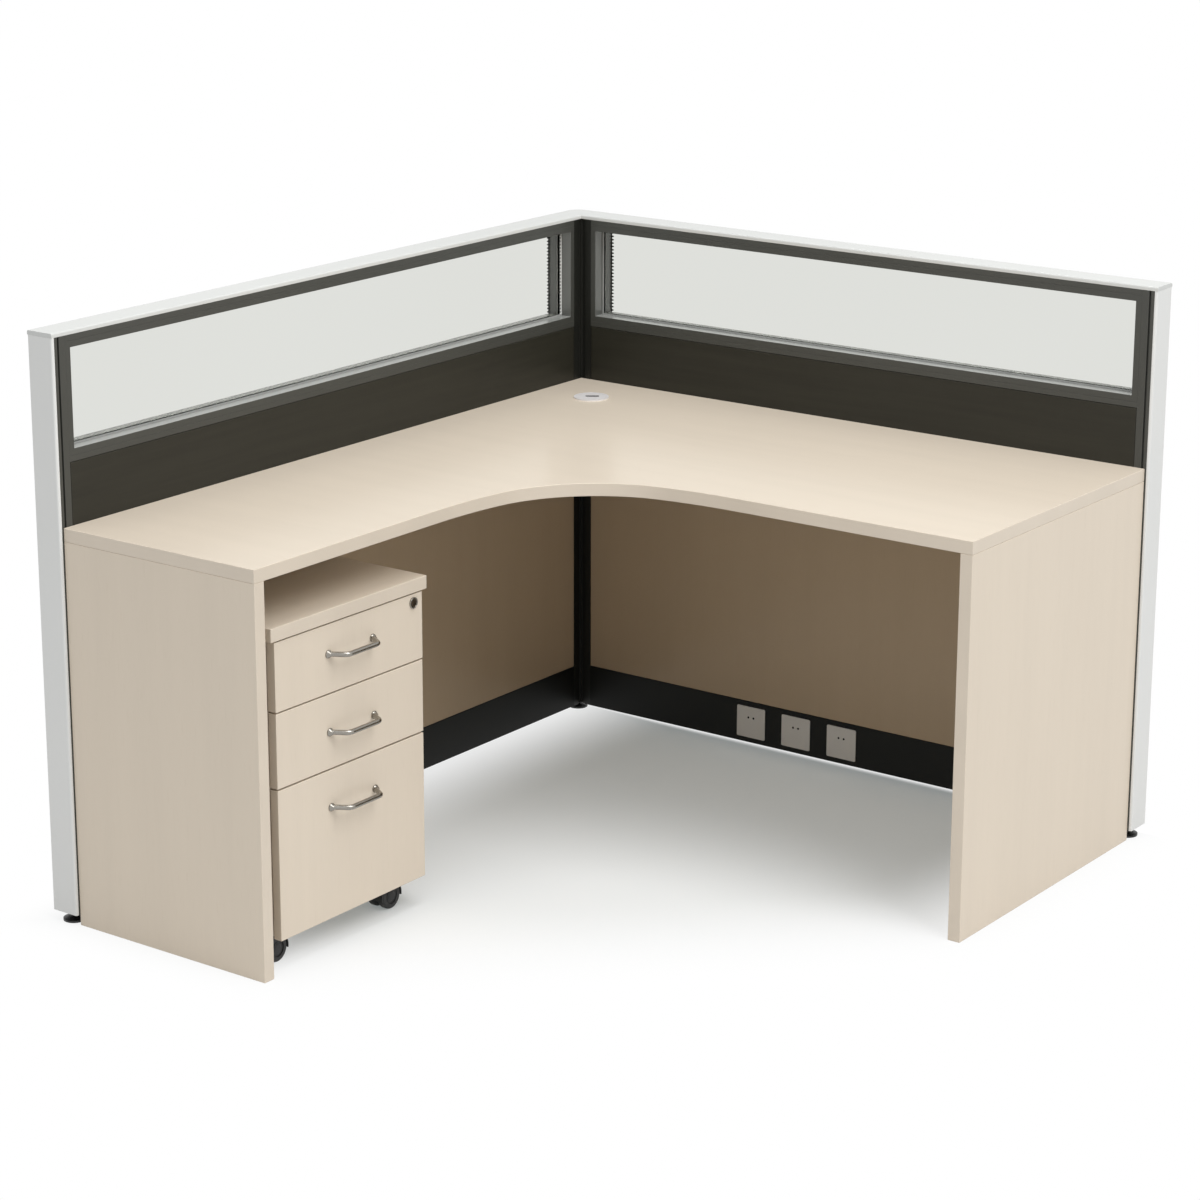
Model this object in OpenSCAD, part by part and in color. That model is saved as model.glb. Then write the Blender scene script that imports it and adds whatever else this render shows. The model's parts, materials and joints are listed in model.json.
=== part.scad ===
// L-shaped cubicle workstation: two glazed screens meeting at a corner post, a curved
// corner worktop on two gables, and a three-drawer pedestal on twin-wheel casters.
// Millimetres, +Z up, origin at the middle of the footprint on the floor.
// Back screen along the +Y side, side screen along the -X side.

/* [Screens] */
// Overall length of the back screen, corner post included
back_run = 1400; // [1250:10:2000]
// Overall length of the side screen, corner post included
side_run = 1600; // [1400:10:2200]
// Overall height of the screens above the floor
screen_h = 1100; // [1050:10:1500]
// Thickness of a screen
screen_t = 60; // [54:1:80]
// Gap under the screens, spanned by the levelling feet
floor_gap = 20; // [18:1:40]
// Height of the skirting covers
skirting_h = 90; // [86:1:130]
// Thickness of the tiles, glazing beads and skirting covers
tile_t = 10; // [8:1:12]
// Height of the upper tile, between the worktop seam and the window rail
upper_tile_h = 128; // [100:1:200]
// Height of the see-through part of a window
window_h = 181; // [120:1:220]
// Thickness of the window glass
glass_t = 6; // [4:1:10]
// Thickness of the pale top caps
cap_t = 8; // [6:1:12]

/* [Screen frame] */
// Face width of an upright stile
stile_w = 15; // [13:1:24]
// Face height of a frame band above and below a window
band_h = 11; // [8:1:20]
// Face width of a glazing bead
bead_w = 12; // [10:1:20]
// Thickness of the bead's leg that lines the opening
bead_leg_t = 3; // [2:0.5:4]
// Width of the link strip between corner post and stile
link_w = 10; // [6:1:20]
// Thickness of the pale cap on a free end
end_cap_t = 6; // [5:1:10]
// Width of the post behind an end cap
end_post_w = 7; // [5:1:20]
// Width of the shadow gap between end post and stile
shadow_gap_w = 4; // [3:1:8]
// Depth of the shadow gaps at the corner and the free ends
shadow_depth = 4; // [3:1:6]
// Radius of the corner post's outer edge
corner_r = 30; // [16:1:40]
// Wall thickness of the aluminium profiles
profile_wall = 2.5; // [2:0.5:3]
// Height of the hollow rails inside the screens
rail_h = 50; // [40:1:60]

/* [Worktop] */
// Height of the worktop's upper face
desk_h = 750; // [700:5:800]
// Thickness of the worktop
worktop_t = 25; // [22:1:36]
// Depth of the worktop along the back screen
back_depth = 650; // [560:5:750]
// Depth of the worktop along the side screen
side_depth = 450; // [440:5:520]
// Radius of the concave inner edge
curve_r = 260; // [200:5:320]
// Radius of the blends at both ends of the concave edge
blend_r = 900; // [600:10:1000]
// Turn of each blend, in degrees
blend_turn = 10; // [5:1:14]
// Distance of the worktop's ends from the free ends of the screens
end_setback = 9; // [4:1:30]
// Thickness of the gables
gable_t = 25; // [18:1:36]

/* [Grommet] */
// Distance of the grommet from the side screen
grommet_from_side = 130; // [90:1:300]
// Distance of the grommet from the back screen
grommet_from_back = 140; // [90:1:300]
// Diameter of the grommet's flange
grommet_d = 73; // [68:1:90]
// Diameter of the hole in the worktop
grommet_hole_d = 60; // [54:1:62]
// Length of the cable slot in the cap
slot_l = 25; // [16:1:30]
// Width of the cable slot in the cap
slot_w = 7; // [6:0.5:9]
// Direction of the slot, in degrees from the back screen
slot_angle = 36; // [0:1:180]

/* [Sockets] */
// Width of a socket plate
socket_w = 70; // [60:1:86]
// Height of a socket plate
socket_h = 68; // [60:1:74]
// Spacing of the socket plates
socket_pitch = 112; // [92:1:140]
// Distance of the first socket from the corner
socket_from_corner = 447; // [300:1:600]
// Diameter of a pin hole
pin_d = 4.8; // [4:0.1:5.2]
// Spacing of the two pin holes
pin_pitch = 12.7; // [10:0.1:20]

/* [Pedestal] */
// Width of the pedestal's carcass and fronts
pedestal_w = 398; // [380:1:430]
// Depth of the carcass, without the fronts
pedestal_d = 393; // [380:1:400]
// Open height between the pedestal and the worktop
pedestal_headroom = 93; // [60:1:130]
// Thickness of the pedestal's top slab
pedestal_top_t = 25; // [18:1:36]
// Overhang of the top slab past the carcass sides
pedestal_top_overhang = 11; // [4:1:16]
// Thickness of the side, bottom and front panels
panel_t = 18; // [16:0.5:19]
// Distance of the pedestal's left side from the left gable
pedestal_from_gable = 34; // [18:1:60]
// Distance of the carcass from the side screen
pedestal_from_screen = 25; // [10:1:40]
// Height of a shallow front at the middle
middle_front_h = 137; // [120:1:150]
// Height of the top front
top_front_h = 126; // [116:1:140]
// Gap between two fronts
front_gap = 3; // [2:0.5:5]
// How far the lowest front hangs below the carcass
front_drop = 4; // [0:0.5:8]
// Thickness of a drawer's sides and back
drawer_side_t = 12; // [10:0.5:15]
// Length of a drawer's sides
drawer_l = 375; // [350:1:378]

/* [Handles and lock] */
// Spacing of a handle's feet
handle_pitch = 120; // [96:1:160]
// Projection of a handle
handle_out = 35; // [28:1:42]
// Diameter of a handle's bar
handle_d = 9.5; // [8:0.5:12]
// How far each leg leans inwards
handle_lean = 18.5; // [12:0.5:22]
// Radius of a handle's bends
handle_bend_r = 14; // [12:0.5:16]
// Drop of the top handle below its front's upper edge
top_handle_drop = 54; // [40:1:64]
// Drop of the other handles below their fronts' upper edges
handle_drop = 69; // [50:1:80]
// Diameter of the lock's head
lock_head_d = 21; // [18:0.5:24]
// Distance of the lock from the front's right edge
lock_inset = 25; // [24:0.5:40]
// Drop of the lock below the front's upper edge
lock_drop = 16; // [14:0.5:18]

/* [Casters and feet] */
// Height of a caster
caster_h = 60; // [58:1:70]
// Diameter of a caster wheel
wheel_d = 50; // [44:1:50]
// Width of one of the twin wheels
wheel_w = 15; // [12:0.5:18]
// Width of the web between the twin wheels
caster_web_w = 9; // [7:0.5:12]
// Distance from the swivel axis to the axle
caster_trail = 15; // [12:0.5:18]
// Direction in which the casters point at rest, in degrees from +X
caster_turn = 270; // [0:1:360]
// Distance of the caster stems from the carcass front and back
caster_inset = 34; // [34:1:60]
// Diameter of a levelling foot's pad
foot_pad_d = 42; // [36:1:48]
// Diameter of a levelling foot's stud
foot_stud_d = 8; // [6:0.5:8]

/* [Hidden] */
$fn = 72;

// How far a cut runs past what it cuts
overrun = 1;
// Running fit of pins and shafts, on the radius
pin_fit = 0.1;
// Clearance round pieces that drop into a recess
seat_fit = 0.3;
// Reveal round each tile
reveal = 0.75;

// Screen planes
x_left = -back_run / 2;
x_right = back_run / 2;
y_front = -side_run / 2;
y_back = side_run / 2;
face_x = x_left + screen_t;
face_y = y_back - screen_t;
back_len = back_run - screen_t;
side_len = side_run - screen_t;
core_w = bead_w - bead_leg_t;
end_w = end_cap_t + end_post_w + shadow_gap_w;
tile_u0 = link_w + stile_w;
function tile_u1(len) = len - end_w - stile_w;

// Screen heights
frame_top = screen_h - cap_t;
bead_top = frame_top - band_h;
window_top = bead_top - bead_w;
window_bottom = window_top - window_h;
bead_bottom = window_bottom - bead_w;
upper_tile_top = bead_bottom - band_h;
seam_z = upper_tile_top - upper_tile_h;
skirting_top = floor_gap + skirting_h;
frame_h = frame_top - floor_gap;
glass_d0 = (screen_t - glass_t) / 2;

// Cap and post details
cap_edge_r = 3;
end_edge_r = 4;
tongue_w = 16;
tongue_h = 5;
spigot_h = 12;
foot_plug_h = 30;

// Socket details
socket_proud = 1;
socket_corner_r = 3;
pin_up = 10;
pin_depth = 8;

// Levelling feet
foot_inset = end_w + stile_w / 2;
pad_h = 4;
dome_h = 4;
dome_r_share = 0.4;
nut_h = 6;
nut_gap = 1;
nut_d = 15;
stud_in = 26;

// Worktop plan
worktop_z = desk_h - worktop_t;
edge_x = face_x + side_depth;
edge_y = face_y - back_depth;
end_x = x_right - end_setback;
end_y = y_front + end_setback;
curve_step = blend_r - curve_r;
curve_off = blend_r - curve_step * cos(blend_turn);
curve_c = [edge_x + curve_off, edge_y - curve_off];
blend_a_c = [edge_x + blend_r, curve_c[1] - curve_step * sin(blend_turn)];
blend_b_c = [curve_c[0] + curve_step * sin(blend_turn), edge_y - blend_r];
curve_steps = 32;
blend_steps = 5;

// Worktop brackets
bracket_leg = 38;
bracket_t = 3;
bracket_w = 50;
bracket_hole_d = 5;
wall_bracket_shares = [0.3, 0.72];
gable_bracket_shares = [0.25, 0.8];

// Grommet
grommet_c = [face_x + grommet_from_side, face_y - grommet_from_back];
flange_t = 2.5;
sleeve_t = 2;
sleeve_l = 20;
cap_ledge_w = 3;
lid_t = 1.5;
lid_skirt_t = 2;
lid_skirt_h = 9;
lid_r = grommet_hole_d / 2 - sleeve_t + cap_ledge_w;
lid_skirt_r = grommet_hole_d / 2 - sleeve_t - pin_fit;
slot_shift = 2;

// Pedestal planes
pedestal_h = worktop_z - pedestal_headroom;
ped_y0 = end_y + gable_t + pedestal_from_gable;
ped_y1 = ped_y0 + pedestal_w;
ped_cy = (ped_y0 + ped_y1) / 2;
ped_x0 = face_x + pedestal_from_screen;
ped_x1 = ped_x0 + pedestal_d;
front_clear = 2;
front_x0 = ped_x1 + front_clear;
front_x1 = front_x0 + panel_t;
slab_back = 5;
slab_front = 3;
slab_z = pedestal_h - pedestal_top_t;
floor_top = caster_h + panel_t;
back_t = 8;
front_tops = [slab_z - front_gap, slab_z - 2 * front_gap - top_front_h,
    slab_z - 3 * front_gap - top_front_h - middle_front_h];
front_bottoms = [front_tops[0] - top_front_h, front_tops[1] - middle_front_h, caster_h - front_drop];

// Drawer boxes and runners
runner_space = 12.7;
box_w = pedestal_w - 2 * panel_t - 2 * runner_space;
box_lift = 12;
floor_clear = 6;
box_bottoms = [front_bottoms[0] + box_lift, front_bottoms[1] + box_lift, floor_top + floor_clear];
box_height_shares = [0.68, 0.72, 0.76];
box_heights = [for (k = [0:2]) box_height_shares[k] * (front_tops[k] - front_bottoms[k])];
base_t = 5;
base_lift = 6;
runner_h = 45;
runner_t = 1.5;
runner_lip = 10;
runner_gap = 0.5;
runner_l = 345;
runner_back_lip = 8;
function runner_z(k) = box_bottoms[k] + box_heights[k] / 2;

// Handle path, from the front's face to the bar
handle_reach = handle_out - handle_d / 2;
handle_turn = atan2(handle_reach, handle_lean);
handle_leg = norm([handle_reach, handle_lean]);
handle_tangent = handle_bend_r * tan(handle_turn / 2);
handle_foot_r = 7.5;
handle_foot_t = 2;
handle_flare_h = 7;
// A leg is a hair thinner than the bend that it runs into
handle_seam = 0.05;
handle_enter = 0.8;

// Lock
lock_y = ped_y1 - lock_inset;
lock_z = front_tops[0] - lock_drop;
lock_body_r = 8;
lock_proud = 2.5;
lock_neck_r = 3.5;
lock_neck_l = 1;
cam_t = 3;
cam_w = 7;
cam_clear = 2;
cam_l = lock_drop + front_gap - cam_clear;
keyway_w = 1.6;
keyway_l = 9;
keyway_deep = 2;

// Casters
stem_d = 10;
collar_h = 4;
collar_d = 26;
boss_d = 20;
hood_t = 2;
hood_gap = 1.3;
wheel_gap = 0.7;
axle_d = 6;
axle_z = wheel_d / 2;
hood_r = wheel_d / 2 + hood_gap + hood_t;
caster_w = caster_web_w + 2 * (wheel_w + wheel_gap);
tyre_edge_r = 4;
hub_r_share = 0.62;
hub_dish = 2;
hood_dip = 5;
caster_side_inset = 42;
caster_xs = [ped_x1 - caster_inset, ped_x0 + caster_inset];
caster_ys = [ped_y0 + caster_side_inset, ped_y1 - caster_side_inset];

MAPLE = [0.87, 0.82, 0.74];
MAPLE_TILE = [0.80, 0.73, 0.62];
CHARCOAL = [0.32, 0.33, 0.31];
CHARCOAL_TILE = [0.24, 0.23, 0.20];
BLACK = [0.10, 0.10, 0.10];
PALE = [0.86, 0.86, 0.84];
GLASS = [0.84, 0.88, 0.86, 0.6];
STEEL = [0.72, 0.72, 0.70];
WHITE = [0.93, 0.93, 0.92];

// Puts children drawn along +X, with depth along +Y, on the back screen
module on_back() {
    translate([face_x, face_y, 0]) children();
}

// Puts the same children on the side screen, running towards the free end
module on_side() {
    translate([face_x, face_y, 0]) mirror([1, 1, 0]) children();
}

// Box between two places along, across and up
module block(u0, u1, d0, d1, z0, z1) {
    translate([u0, d0, z0]) cube([u1 - u0, d1 - d0, z1 - z0]);
}

// Rectangle between two places along each axis
module field(u0, u1, d0, d1) {
    translate([u0, d0]) square([u1 - u0, d1 - d0]);
}

// Flat rounded rectangle about the origin
module rounded_plate(w, h, r) {
    square([w, h - 2 * r], center = true);
    square([w - 2 * r, h], center = true);
    for (sx = [-1, 1], sy = [-1, 1])
        translate([sx * (w / 2 - r), sy * (h / 2 - r)]) circle(r);
}

// Plan of the corner post: a square with its outer corner rounded
module corner_plan(inset) {
    r = corner_r - inset;
    field(-screen_t + corner_r, -inset, inset, screen_t - inset);
    field(-screen_t + inset, -inset, inset, screen_t - corner_r);
    translate([-screen_t + corner_r, screen_t - corner_r]) circle(r);
}

// Post with hollow core, link strips for both screens and the foot's threaded plug
module corner_post() {
    strip_end = screen_t - shadow_depth;
    color(CHARCOAL) on_back() {
        translate([0, 0, floor_gap]) {
            linear_extrude(frame_h) difference() {
                corner_plan(0);
                corner_plan(profile_wall);
            }
            linear_extrude(foot_plug_h) difference() {
                corner_plan(0);
                translate([-screen_t / 2, screen_t / 2]) circle(foot_stud_d / 2 + pin_fit);
            }
        }
        block(0, link_w, shadow_depth, strip_end, floor_gap, frame_top);
        block(-strip_end, -shadow_depth, -link_w, 0, floor_gap, frame_top);
    }
}

// Half of a cap's cross-section, rounded on its outer upper edge
module cap_half(w) {
    field(0, w, 0, cap_t - cap_edge_r);
    field(0, w - cap_edge_r, 0, cap_t);
    translate([w - cap_edge_r, cap_t - cap_edge_r]) circle(cap_edge_r);
}

// Cap over the corner post, with a spigot into its hollow core
module corner_cap() {
    arm = screen_t - corner_r;
    color(PALE) on_back() translate([0, 0, frame_top]) {
        block(-arm, 0, 0, arm, 0, cap_t);
        translate([-arm, arm, 0]) {
            rotate(90) rotate_extrude(angle = 90) cap_half(corner_r);
            rotate([90, 0, 90]) linear_extrude(arm) cap_half(corner_r);
            translate([0, -arm, 0]) rotate([90, 0, 180]) linear_extrude(arm) cap_half(corner_r);
        }
        translate([0, 0, -spigot_h]) linear_extrude(spigot_h) corner_plan(profile_wall + seat_fit);
    }
}

// Stile cross-section: a face band with a narrower core towards the tiles
module stile_plan(inset) {
    field(inset, stile_w - inset, inset, screen_t - inset);
    field(inset, stile_w + core_w - inset, tile_t + inset, screen_t - tile_t - inset);
}

// Hollow stile; the one at a free end has a plug drilled for its foot
module stile(with_foot) {
    translate([0, 0, floor_gap]) {
        linear_extrude(frame_h) difference() {
            stile_plan(0);
            stile_plan(profile_wall);
        }
        if (with_foot) linear_extrude(foot_plug_h) difference() {
            stile_plan(0);
            translate([stile_w / 2, screen_t / 2]) circle(foot_stud_d / 2 + pin_fit);
        }
    }
}

module stile_pair(len) {
    translate([link_w, 0, 0]) stile(false);
    translate([len - end_w, 0, 0]) mirror([1, 0, 0]) stile(true);
}

module screen_stiles() {
    color(CHARCOAL) {
        on_back() stile_pair(back_len);
        on_side() stile_pair(side_len);
    }
}

// Box rail between the stile cores, hollow along its length
module rail_core(len, z0, z1) {
    u0 = tile_u0 + core_w;
    u1 = tile_u1(len) - core_w;
    difference() {
        block(u0, u1, tile_t, screen_t - tile_t, z0, z1);
        block(u0 - overrun, u1 + overrun, tile_t + profile_wall, screen_t - tile_t - profile_wall,
            z0 + profile_wall, z1 - profile_wall);
    }
}

// Visible frame band on both faces of a rail
module rail_bands(len, z0) {
    block(tile_u0, tile_u1(len), 0, tile_t, z0, z0 + band_h);
    block(tile_u0, tile_u1(len), screen_t - tile_t, screen_t, z0, z0 + band_h);
}

// Head rail, grooved along its top for the cap's tongue
module head_rail(len) {
    u0 = tile_u0 + core_w;
    u1 = tile_u1(len) - core_w;
    difference() {
        block(u0, u1, tile_t, screen_t - tile_t, bead_top - core_w, frame_top);
        block(u0 - overrun, u1 + overrun, screen_t / 2 - tongue_w / 2 - seat_fit,
            screen_t / 2 + tongue_w / 2 + seat_fit, frame_top - tongue_h - seat_fit, frame_top + overrun);
    }
    rail_bands(len, bead_top);
}

module rail_set(len) {
    head_rail(len);
    rail_core(len, upper_tile_top - rail_h / 2, window_bottom - bead_leg_t);
    rail_bands(len, upper_tile_top);
    rail_core(len, seam_z - rail_h / 2, seam_z + rail_h / 2);
    rail_core(len, skirting_top - rail_h / 2, skirting_top + rail_h / 2);
}

module screen_rails() {
    color(CHARCOAL) {
        on_back() rail_set(back_len);
        on_side() rail_set(side_len);
    }
}

// H-shaped post: a full-depth plate with a narrower neck as shadow gap
module end_post(len) {
    block(len - end_cap_t - end_post_w, len - end_cap_t, 0, screen_t, floor_gap, frame_top);
    block(len - end_w, len - end_cap_t - end_post_w, shadow_depth, screen_t - shadow_depth,
          floor_gap, frame_top);
}

module end_posts() {
    color(CHARCOAL) {
        on_back() end_post(back_len);
        on_side() end_post(side_len);
    }
}

// End cap: a pale cover with both outer edges rounded
module end_cap(len) {
    translate([len - end_cap_t, 0, floor_gap]) linear_extrude(frame_h) intersection() {
        field(0, end_cap_t, 0, screen_t);
        union() {
            field(0, end_cap_t - end_edge_r, 0, screen_t);
            field(0, end_cap_t, end_edge_r, screen_t - end_edge_r);
            for (d = [end_edge_r, screen_t - end_edge_r])
                translate([end_cap_t - end_edge_r, d]) circle(end_edge_r);
        }
    }
}

module end_caps() {
    color(PALE) {
        on_back() end_cap(back_len);
        on_side() end_cap(side_len);
    }
}

// Top cap with rounded edges and a tongue that sits in the head rail's groove
module top_cap(len) {
    translate([0, screen_t / 2, frame_top]) for (s = [0, 1])
        mirror([0, s, 0]) rotate([90, 0, 90]) linear_extrude(len) cap_half(screen_t / 2);
    block(tile_u0 + core_w, tile_u1(len) - core_w, screen_t / 2 - tongue_w / 2, screen_t / 2 + tongue_w / 2,
        frame_top - tongue_h, frame_top);
}

module back_top_cap() {
    color(PALE) on_back() top_cap(back_len);
}

module side_top_cap() {
    color(PALE) on_side() top_cap(side_len);
}

// Glazing bead for one face: a flush frame with a leg that reaches back to the glass
module bead_frame(len) {
    u0 = tile_u0;
    u1 = tile_u1(len);
    lining = bead_w - bead_leg_t;
    difference() {
        union() {
            block(u0, u1, 0, tile_t, bead_bottom, bead_top);
            block(u0 + lining, u1 - lining, 0, glass_d0, bead_bottom + lining, bead_top - lining);
        }
        block(u0 + bead_w, u1 - bead_w, -overrun, glass_d0 + overrun, window_bottom, window_top);
    }
}

module window_frame(len) {
    bead_frame(len);
    translate([0, screen_t, 0]) mirror([0, 1, 0]) bead_frame(len);
}

module back_window_frame() {
    color(CHARCOAL) on_back() window_frame(back_len);
}

module side_window_frame() {
    color(CHARCOAL) on_side() window_frame(side_len);
}

// Pane clamped between the legs of the two beads
module pane(len) {
    block(tile_u0 + core_w, tile_u1(len) - core_w, glass_d0, glass_d0 + glass_t,
        window_bottom - bead_leg_t, window_top + bead_leg_t);
}

module back_glass() {
    color(GLASS) on_back() pane(back_len);
}

module side_glass() {
    color(GLASS) on_side() pane(side_len);
}

// Tile on the inner or the outer face, with a reveal round it
module tile(len, z0, z1, outer) {
    d0 = outer ? screen_t - tile_t : 0;
    block(tile_u0 + reveal, tile_u1(len) - reveal, d0, d0 + tile_t, z0 + reveal, z1 - reveal);
}

module back_upper_tile() {
    color(CHARCOAL_TILE) on_back() tile(back_len, seam_z, upper_tile_top, false);
}

module side_upper_tile() {
    color(CHARCOAL_TILE) on_side() tile(side_len, seam_z, upper_tile_top, false);
}

module back_lower_tile() {
    color(MAPLE_TILE) on_back() tile(back_len, skirting_top, seam_z, false);
}

module side_lower_tile() {
    color(MAPLE_TILE) on_side() tile(side_len, skirting_top, seam_z, false);
}

module outer_upper_tiles() {
    color(CHARCOAL_TILE) {
        on_back() tile(back_len, seam_z, upper_tile_top, true);
        on_side() tile(side_len, seam_z, upper_tile_top, true);
    }
}

module outer_lower_tiles() {
    color(MAPLE_TILE) {
        on_back() tile(back_len, skirting_top, seam_z, true);
        on_side() tile(side_len, skirting_top, seam_z, true);
    }
}

// Centre of a socket along the back screen, counted from the corner
function socket_u(k) = socket_from_corner + k * socket_pitch;
socket_z = floor_gap + (skirting_h - socket_h) / 2 + socket_h / 2;

// Skirting with a rounded cut-out for each socket plate
module back_skirting() {
    color(BLACK) on_back() difference() {
        block(tile_u0, tile_u1(back_len), 0, tile_t, floor_gap, skirting_top);
        for (k = [0:2])
            translate([socket_u(k), tile_t + overrun, socket_z]) rotate([90, 0, 0])
                linear_extrude(tile_t + 2 * overrun)
                    rounded_plate(socket_w + 2 * seat_fit, socket_h + 2 * seat_fit, socket_corner_r + seat_fit);
    }
}

module side_skirting() {
    color(BLACK) on_side() block(tile_u0, tile_u1(side_len), 0, tile_t, floor_gap, skirting_top);
}

module outer_skirting() {
    color(BLACK) {
        on_back() block(tile_u0, tile_u1(back_len), screen_t - tile_t, screen_t, floor_gap, skirting_top);
        on_side() block(tile_u0, tile_u1(side_len), screen_t - tile_t, screen_t, floor_gap, skirting_top);
    }
}

// Socket plate with two round pin holes
module socket_plate() {
    rotate([90, 0, 0]) difference() {
        translate([0, 0, -tile_t]) linear_extrude(tile_t + socket_proud)
            rounded_plate(socket_w, socket_h, socket_corner_r);
        for (s = [-1, 1])
            translate([s * pin_pitch / 2, pin_up, socket_proud - pin_depth])
                cylinder(h = pin_depth + overrun, d = pin_d);
    }
}

module socket_plates() {
    color(PALE) on_back() for (k = [0:2])
        translate([socket_u(k), 0, socket_z]) socket_plate();
}

// Levelling foot: pad, dome, hexagon nut and stud
module levelling_foot() {
    cylinder(h = pad_h, d = foot_pad_d);
    translate([0, 0, pad_h]) cylinder(h = dome_h, d1 = foot_pad_d, d2 = dome_r_share * foot_pad_d);
    cylinder(h = floor_gap + stud_in, d = foot_stud_d);
    translate([0, 0, floor_gap - nut_gap - nut_h]) cylinder(h = nut_h, d = nut_d, $fn = 6);
}

module foot_corner() {
    color(BLACK) on_back() translate([-screen_t / 2, screen_t / 2, 0]) levelling_foot();
}

module foot_back() {
    color(BLACK) on_back() translate([back_len - foot_inset, screen_t / 2, 0]) levelling_foot();
}

module foot_side() {
    color(BLACK) on_side() translate([side_len - foot_inset, screen_t / 2, 0]) levelling_foot();
}

// Points along an arc, its first point left out
function arc_points(c, r, from, to, steps) =
    [for (k = [1:steps]) let (a = from + k * (to - from) / steps) c + r * [cos(a), sin(a)]];

// Plan of the worktop: two wings joined by a concave edge of three tangent arcs
module worktop_plan() {
    polygon(concat(
        [[face_x, face_y], [face_x, end_y], [edge_x, end_y], [edge_x, blend_a_c[1]]],
        arc_points(blend_a_c, blend_r, 180, 180 - blend_turn, blend_steps),
        arc_points(curve_c, curve_r, 180 - blend_turn, 90 + blend_turn, curve_steps),
        arc_points(blend_b_c, blend_r, 90 + blend_turn, 90, blend_steps),
        [[end_x, edge_y], [end_x, face_y]]));
}

module worktop() {
    color(MAPLE) translate([0, 0, worktop_z]) difference() {
        linear_extrude(worktop_t) worktop_plan();
        translate([grommet_c[0], grommet_c[1], -overrun])
            cylinder(h = worktop_t + 2 * overrun, d = grommet_hole_d + 2 * seat_fit);
    }
}

module left_gable() {
    color(MAPLE) block(face_x, edge_x, end_y, end_y + gable_t, 0, worktop_z);
}

module right_gable() {
    color(MAPLE) block(end_x - gable_t, end_x, edge_y, face_y, 0, worktop_z);
}

// Steel angle under the worktop, upright leg on the plane x = 0
module bracket() {
    difference() {
        rotate([90, 0, 0]) translate([0, 0, -bracket_w / 2]) linear_extrude(bracket_w) {
            field(0, bracket_t, -bracket_leg, 0);
            field(0, bracket_leg, -bracket_t, 0);
        }
        for (s = [-1, 1]) {
            translate([bracket_leg / 2, s * bracket_w / 4, -bracket_t - overrun])
                cylinder(h = bracket_t + 2 * overrun, d = bracket_hole_d);
            translate([-overrun, s * bracket_w / 4, -bracket_leg / 2]) rotate([0, 90, 0])
                cylinder(h = bracket_t + 2 * overrun, d = bracket_hole_d);
        }
    }
}

module worktop_brackets() {
    color(STEEL) translate([0, 0, worktop_z]) {
        for (s = wall_bracket_shares) {
            translate([face_x, face_y - s * (face_y - end_y), 0]) bracket();
            translate([face_x + s * (end_x - face_x), face_y, 0]) rotate(-90) bracket();
        }
        for (s = gable_bracket_shares) {
            translate([face_x + s * side_depth, end_y + gable_t, 0]) rotate(90) bracket();
            translate([end_x - gable_t, face_y - s * back_depth, 0]) rotate(180) bracket();
        }
    }
}

// Flanged sleeve pressed into the worktop, with a ledge for the lid
module grommet_ring() {
    color(WHITE) translate([grommet_c[0], grommet_c[1], desk_h]) difference() {
        union() {
            cylinder(h = flange_t, d = grommet_d);
            translate([0, 0, -sleeve_l]) cylinder(h = sleeve_l + flange_t, d = grommet_hole_d);
        }
        translate([0, 0, -sleeve_l - overrun])
            cylinder(h = sleeve_l + flange_t + 2 * overrun, d = grommet_hole_d - 2 * sleeve_t);
        translate([0, 0, flange_t - lid_t]) cylinder(h = lid_t + overrun, r = lid_r + seat_fit);
    }
}

// Turning lid with an oblong cable slot and a skirt that guides it in the sleeve
module grommet_cap() {
    straight = slot_l - slot_w;
    color(WHITE) translate([grommet_c[0], grommet_c[1], desk_h + flange_t - lid_t]) difference() {
        union() {
            cylinder(h = lid_t, r = lid_r);
            translate([0, 0, -lid_skirt_h]) cylinder(h = lid_skirt_h, r = lid_skirt_r);
        }
        translate([0, 0, -lid_skirt_h - overrun])
            cylinder(h = lid_skirt_h + overrun, r = lid_skirt_r - lid_skirt_t);
        rotate(slot_angle) translate([slot_shift, 0, -overrun]) linear_extrude(lid_t + 2 * overrun) {
            square([straight, slot_w], center = true);
            for (s = [-1, 1])
                translate([s * straight / 2, 0]) circle(d = slot_w);
        }
    }
}

module pedestal_top() {
    color(MAPLE) block(ped_x0 - slab_back, front_x1 + slab_front, ped_y0 - pedestal_top_overhang,
        ped_y1 + pedestal_top_overhang, slab_z, pedestal_h);
}

module pedestal_left_side() {
    color(MAPLE) block(ped_x0, ped_x1, ped_y0, ped_y0 + panel_t, caster_h, slab_z);
}

module pedestal_right_side() {
    color(MAPLE) block(ped_x0, ped_x1, ped_y1 - panel_t, ped_y1, caster_h, slab_z);
}

module pedestal_back() {
    color(MAPLE) block(ped_x0, ped_x0 + back_t, ped_y0 + panel_t, ped_y1 - panel_t, floor_top, slab_z);
}

// Bottom panel, bored for the four caster stems
module pedestal_bottom() {
    color(MAPLE) difference() {
        block(ped_x0, ped_x1, ped_y0 + panel_t, ped_y1 - panel_t, caster_h, floor_top);
        for (x = caster_xs, y = caster_ys)
            translate([x, y, caster_h - overrun])
                cylinder(h = panel_t + 2 * overrun, d = stem_d + 2 * pin_fit);
    }
}

// Channel of a runner: a web with two lips, in a plane across the travel
module channel(h, lip) {
    field(0, runner_t, -h / 2, h / 2);
    for (s = [0, 1])
        mirror([0, s]) field(0, lip, h / 2 - runner_t, h / 2);
}

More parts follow.
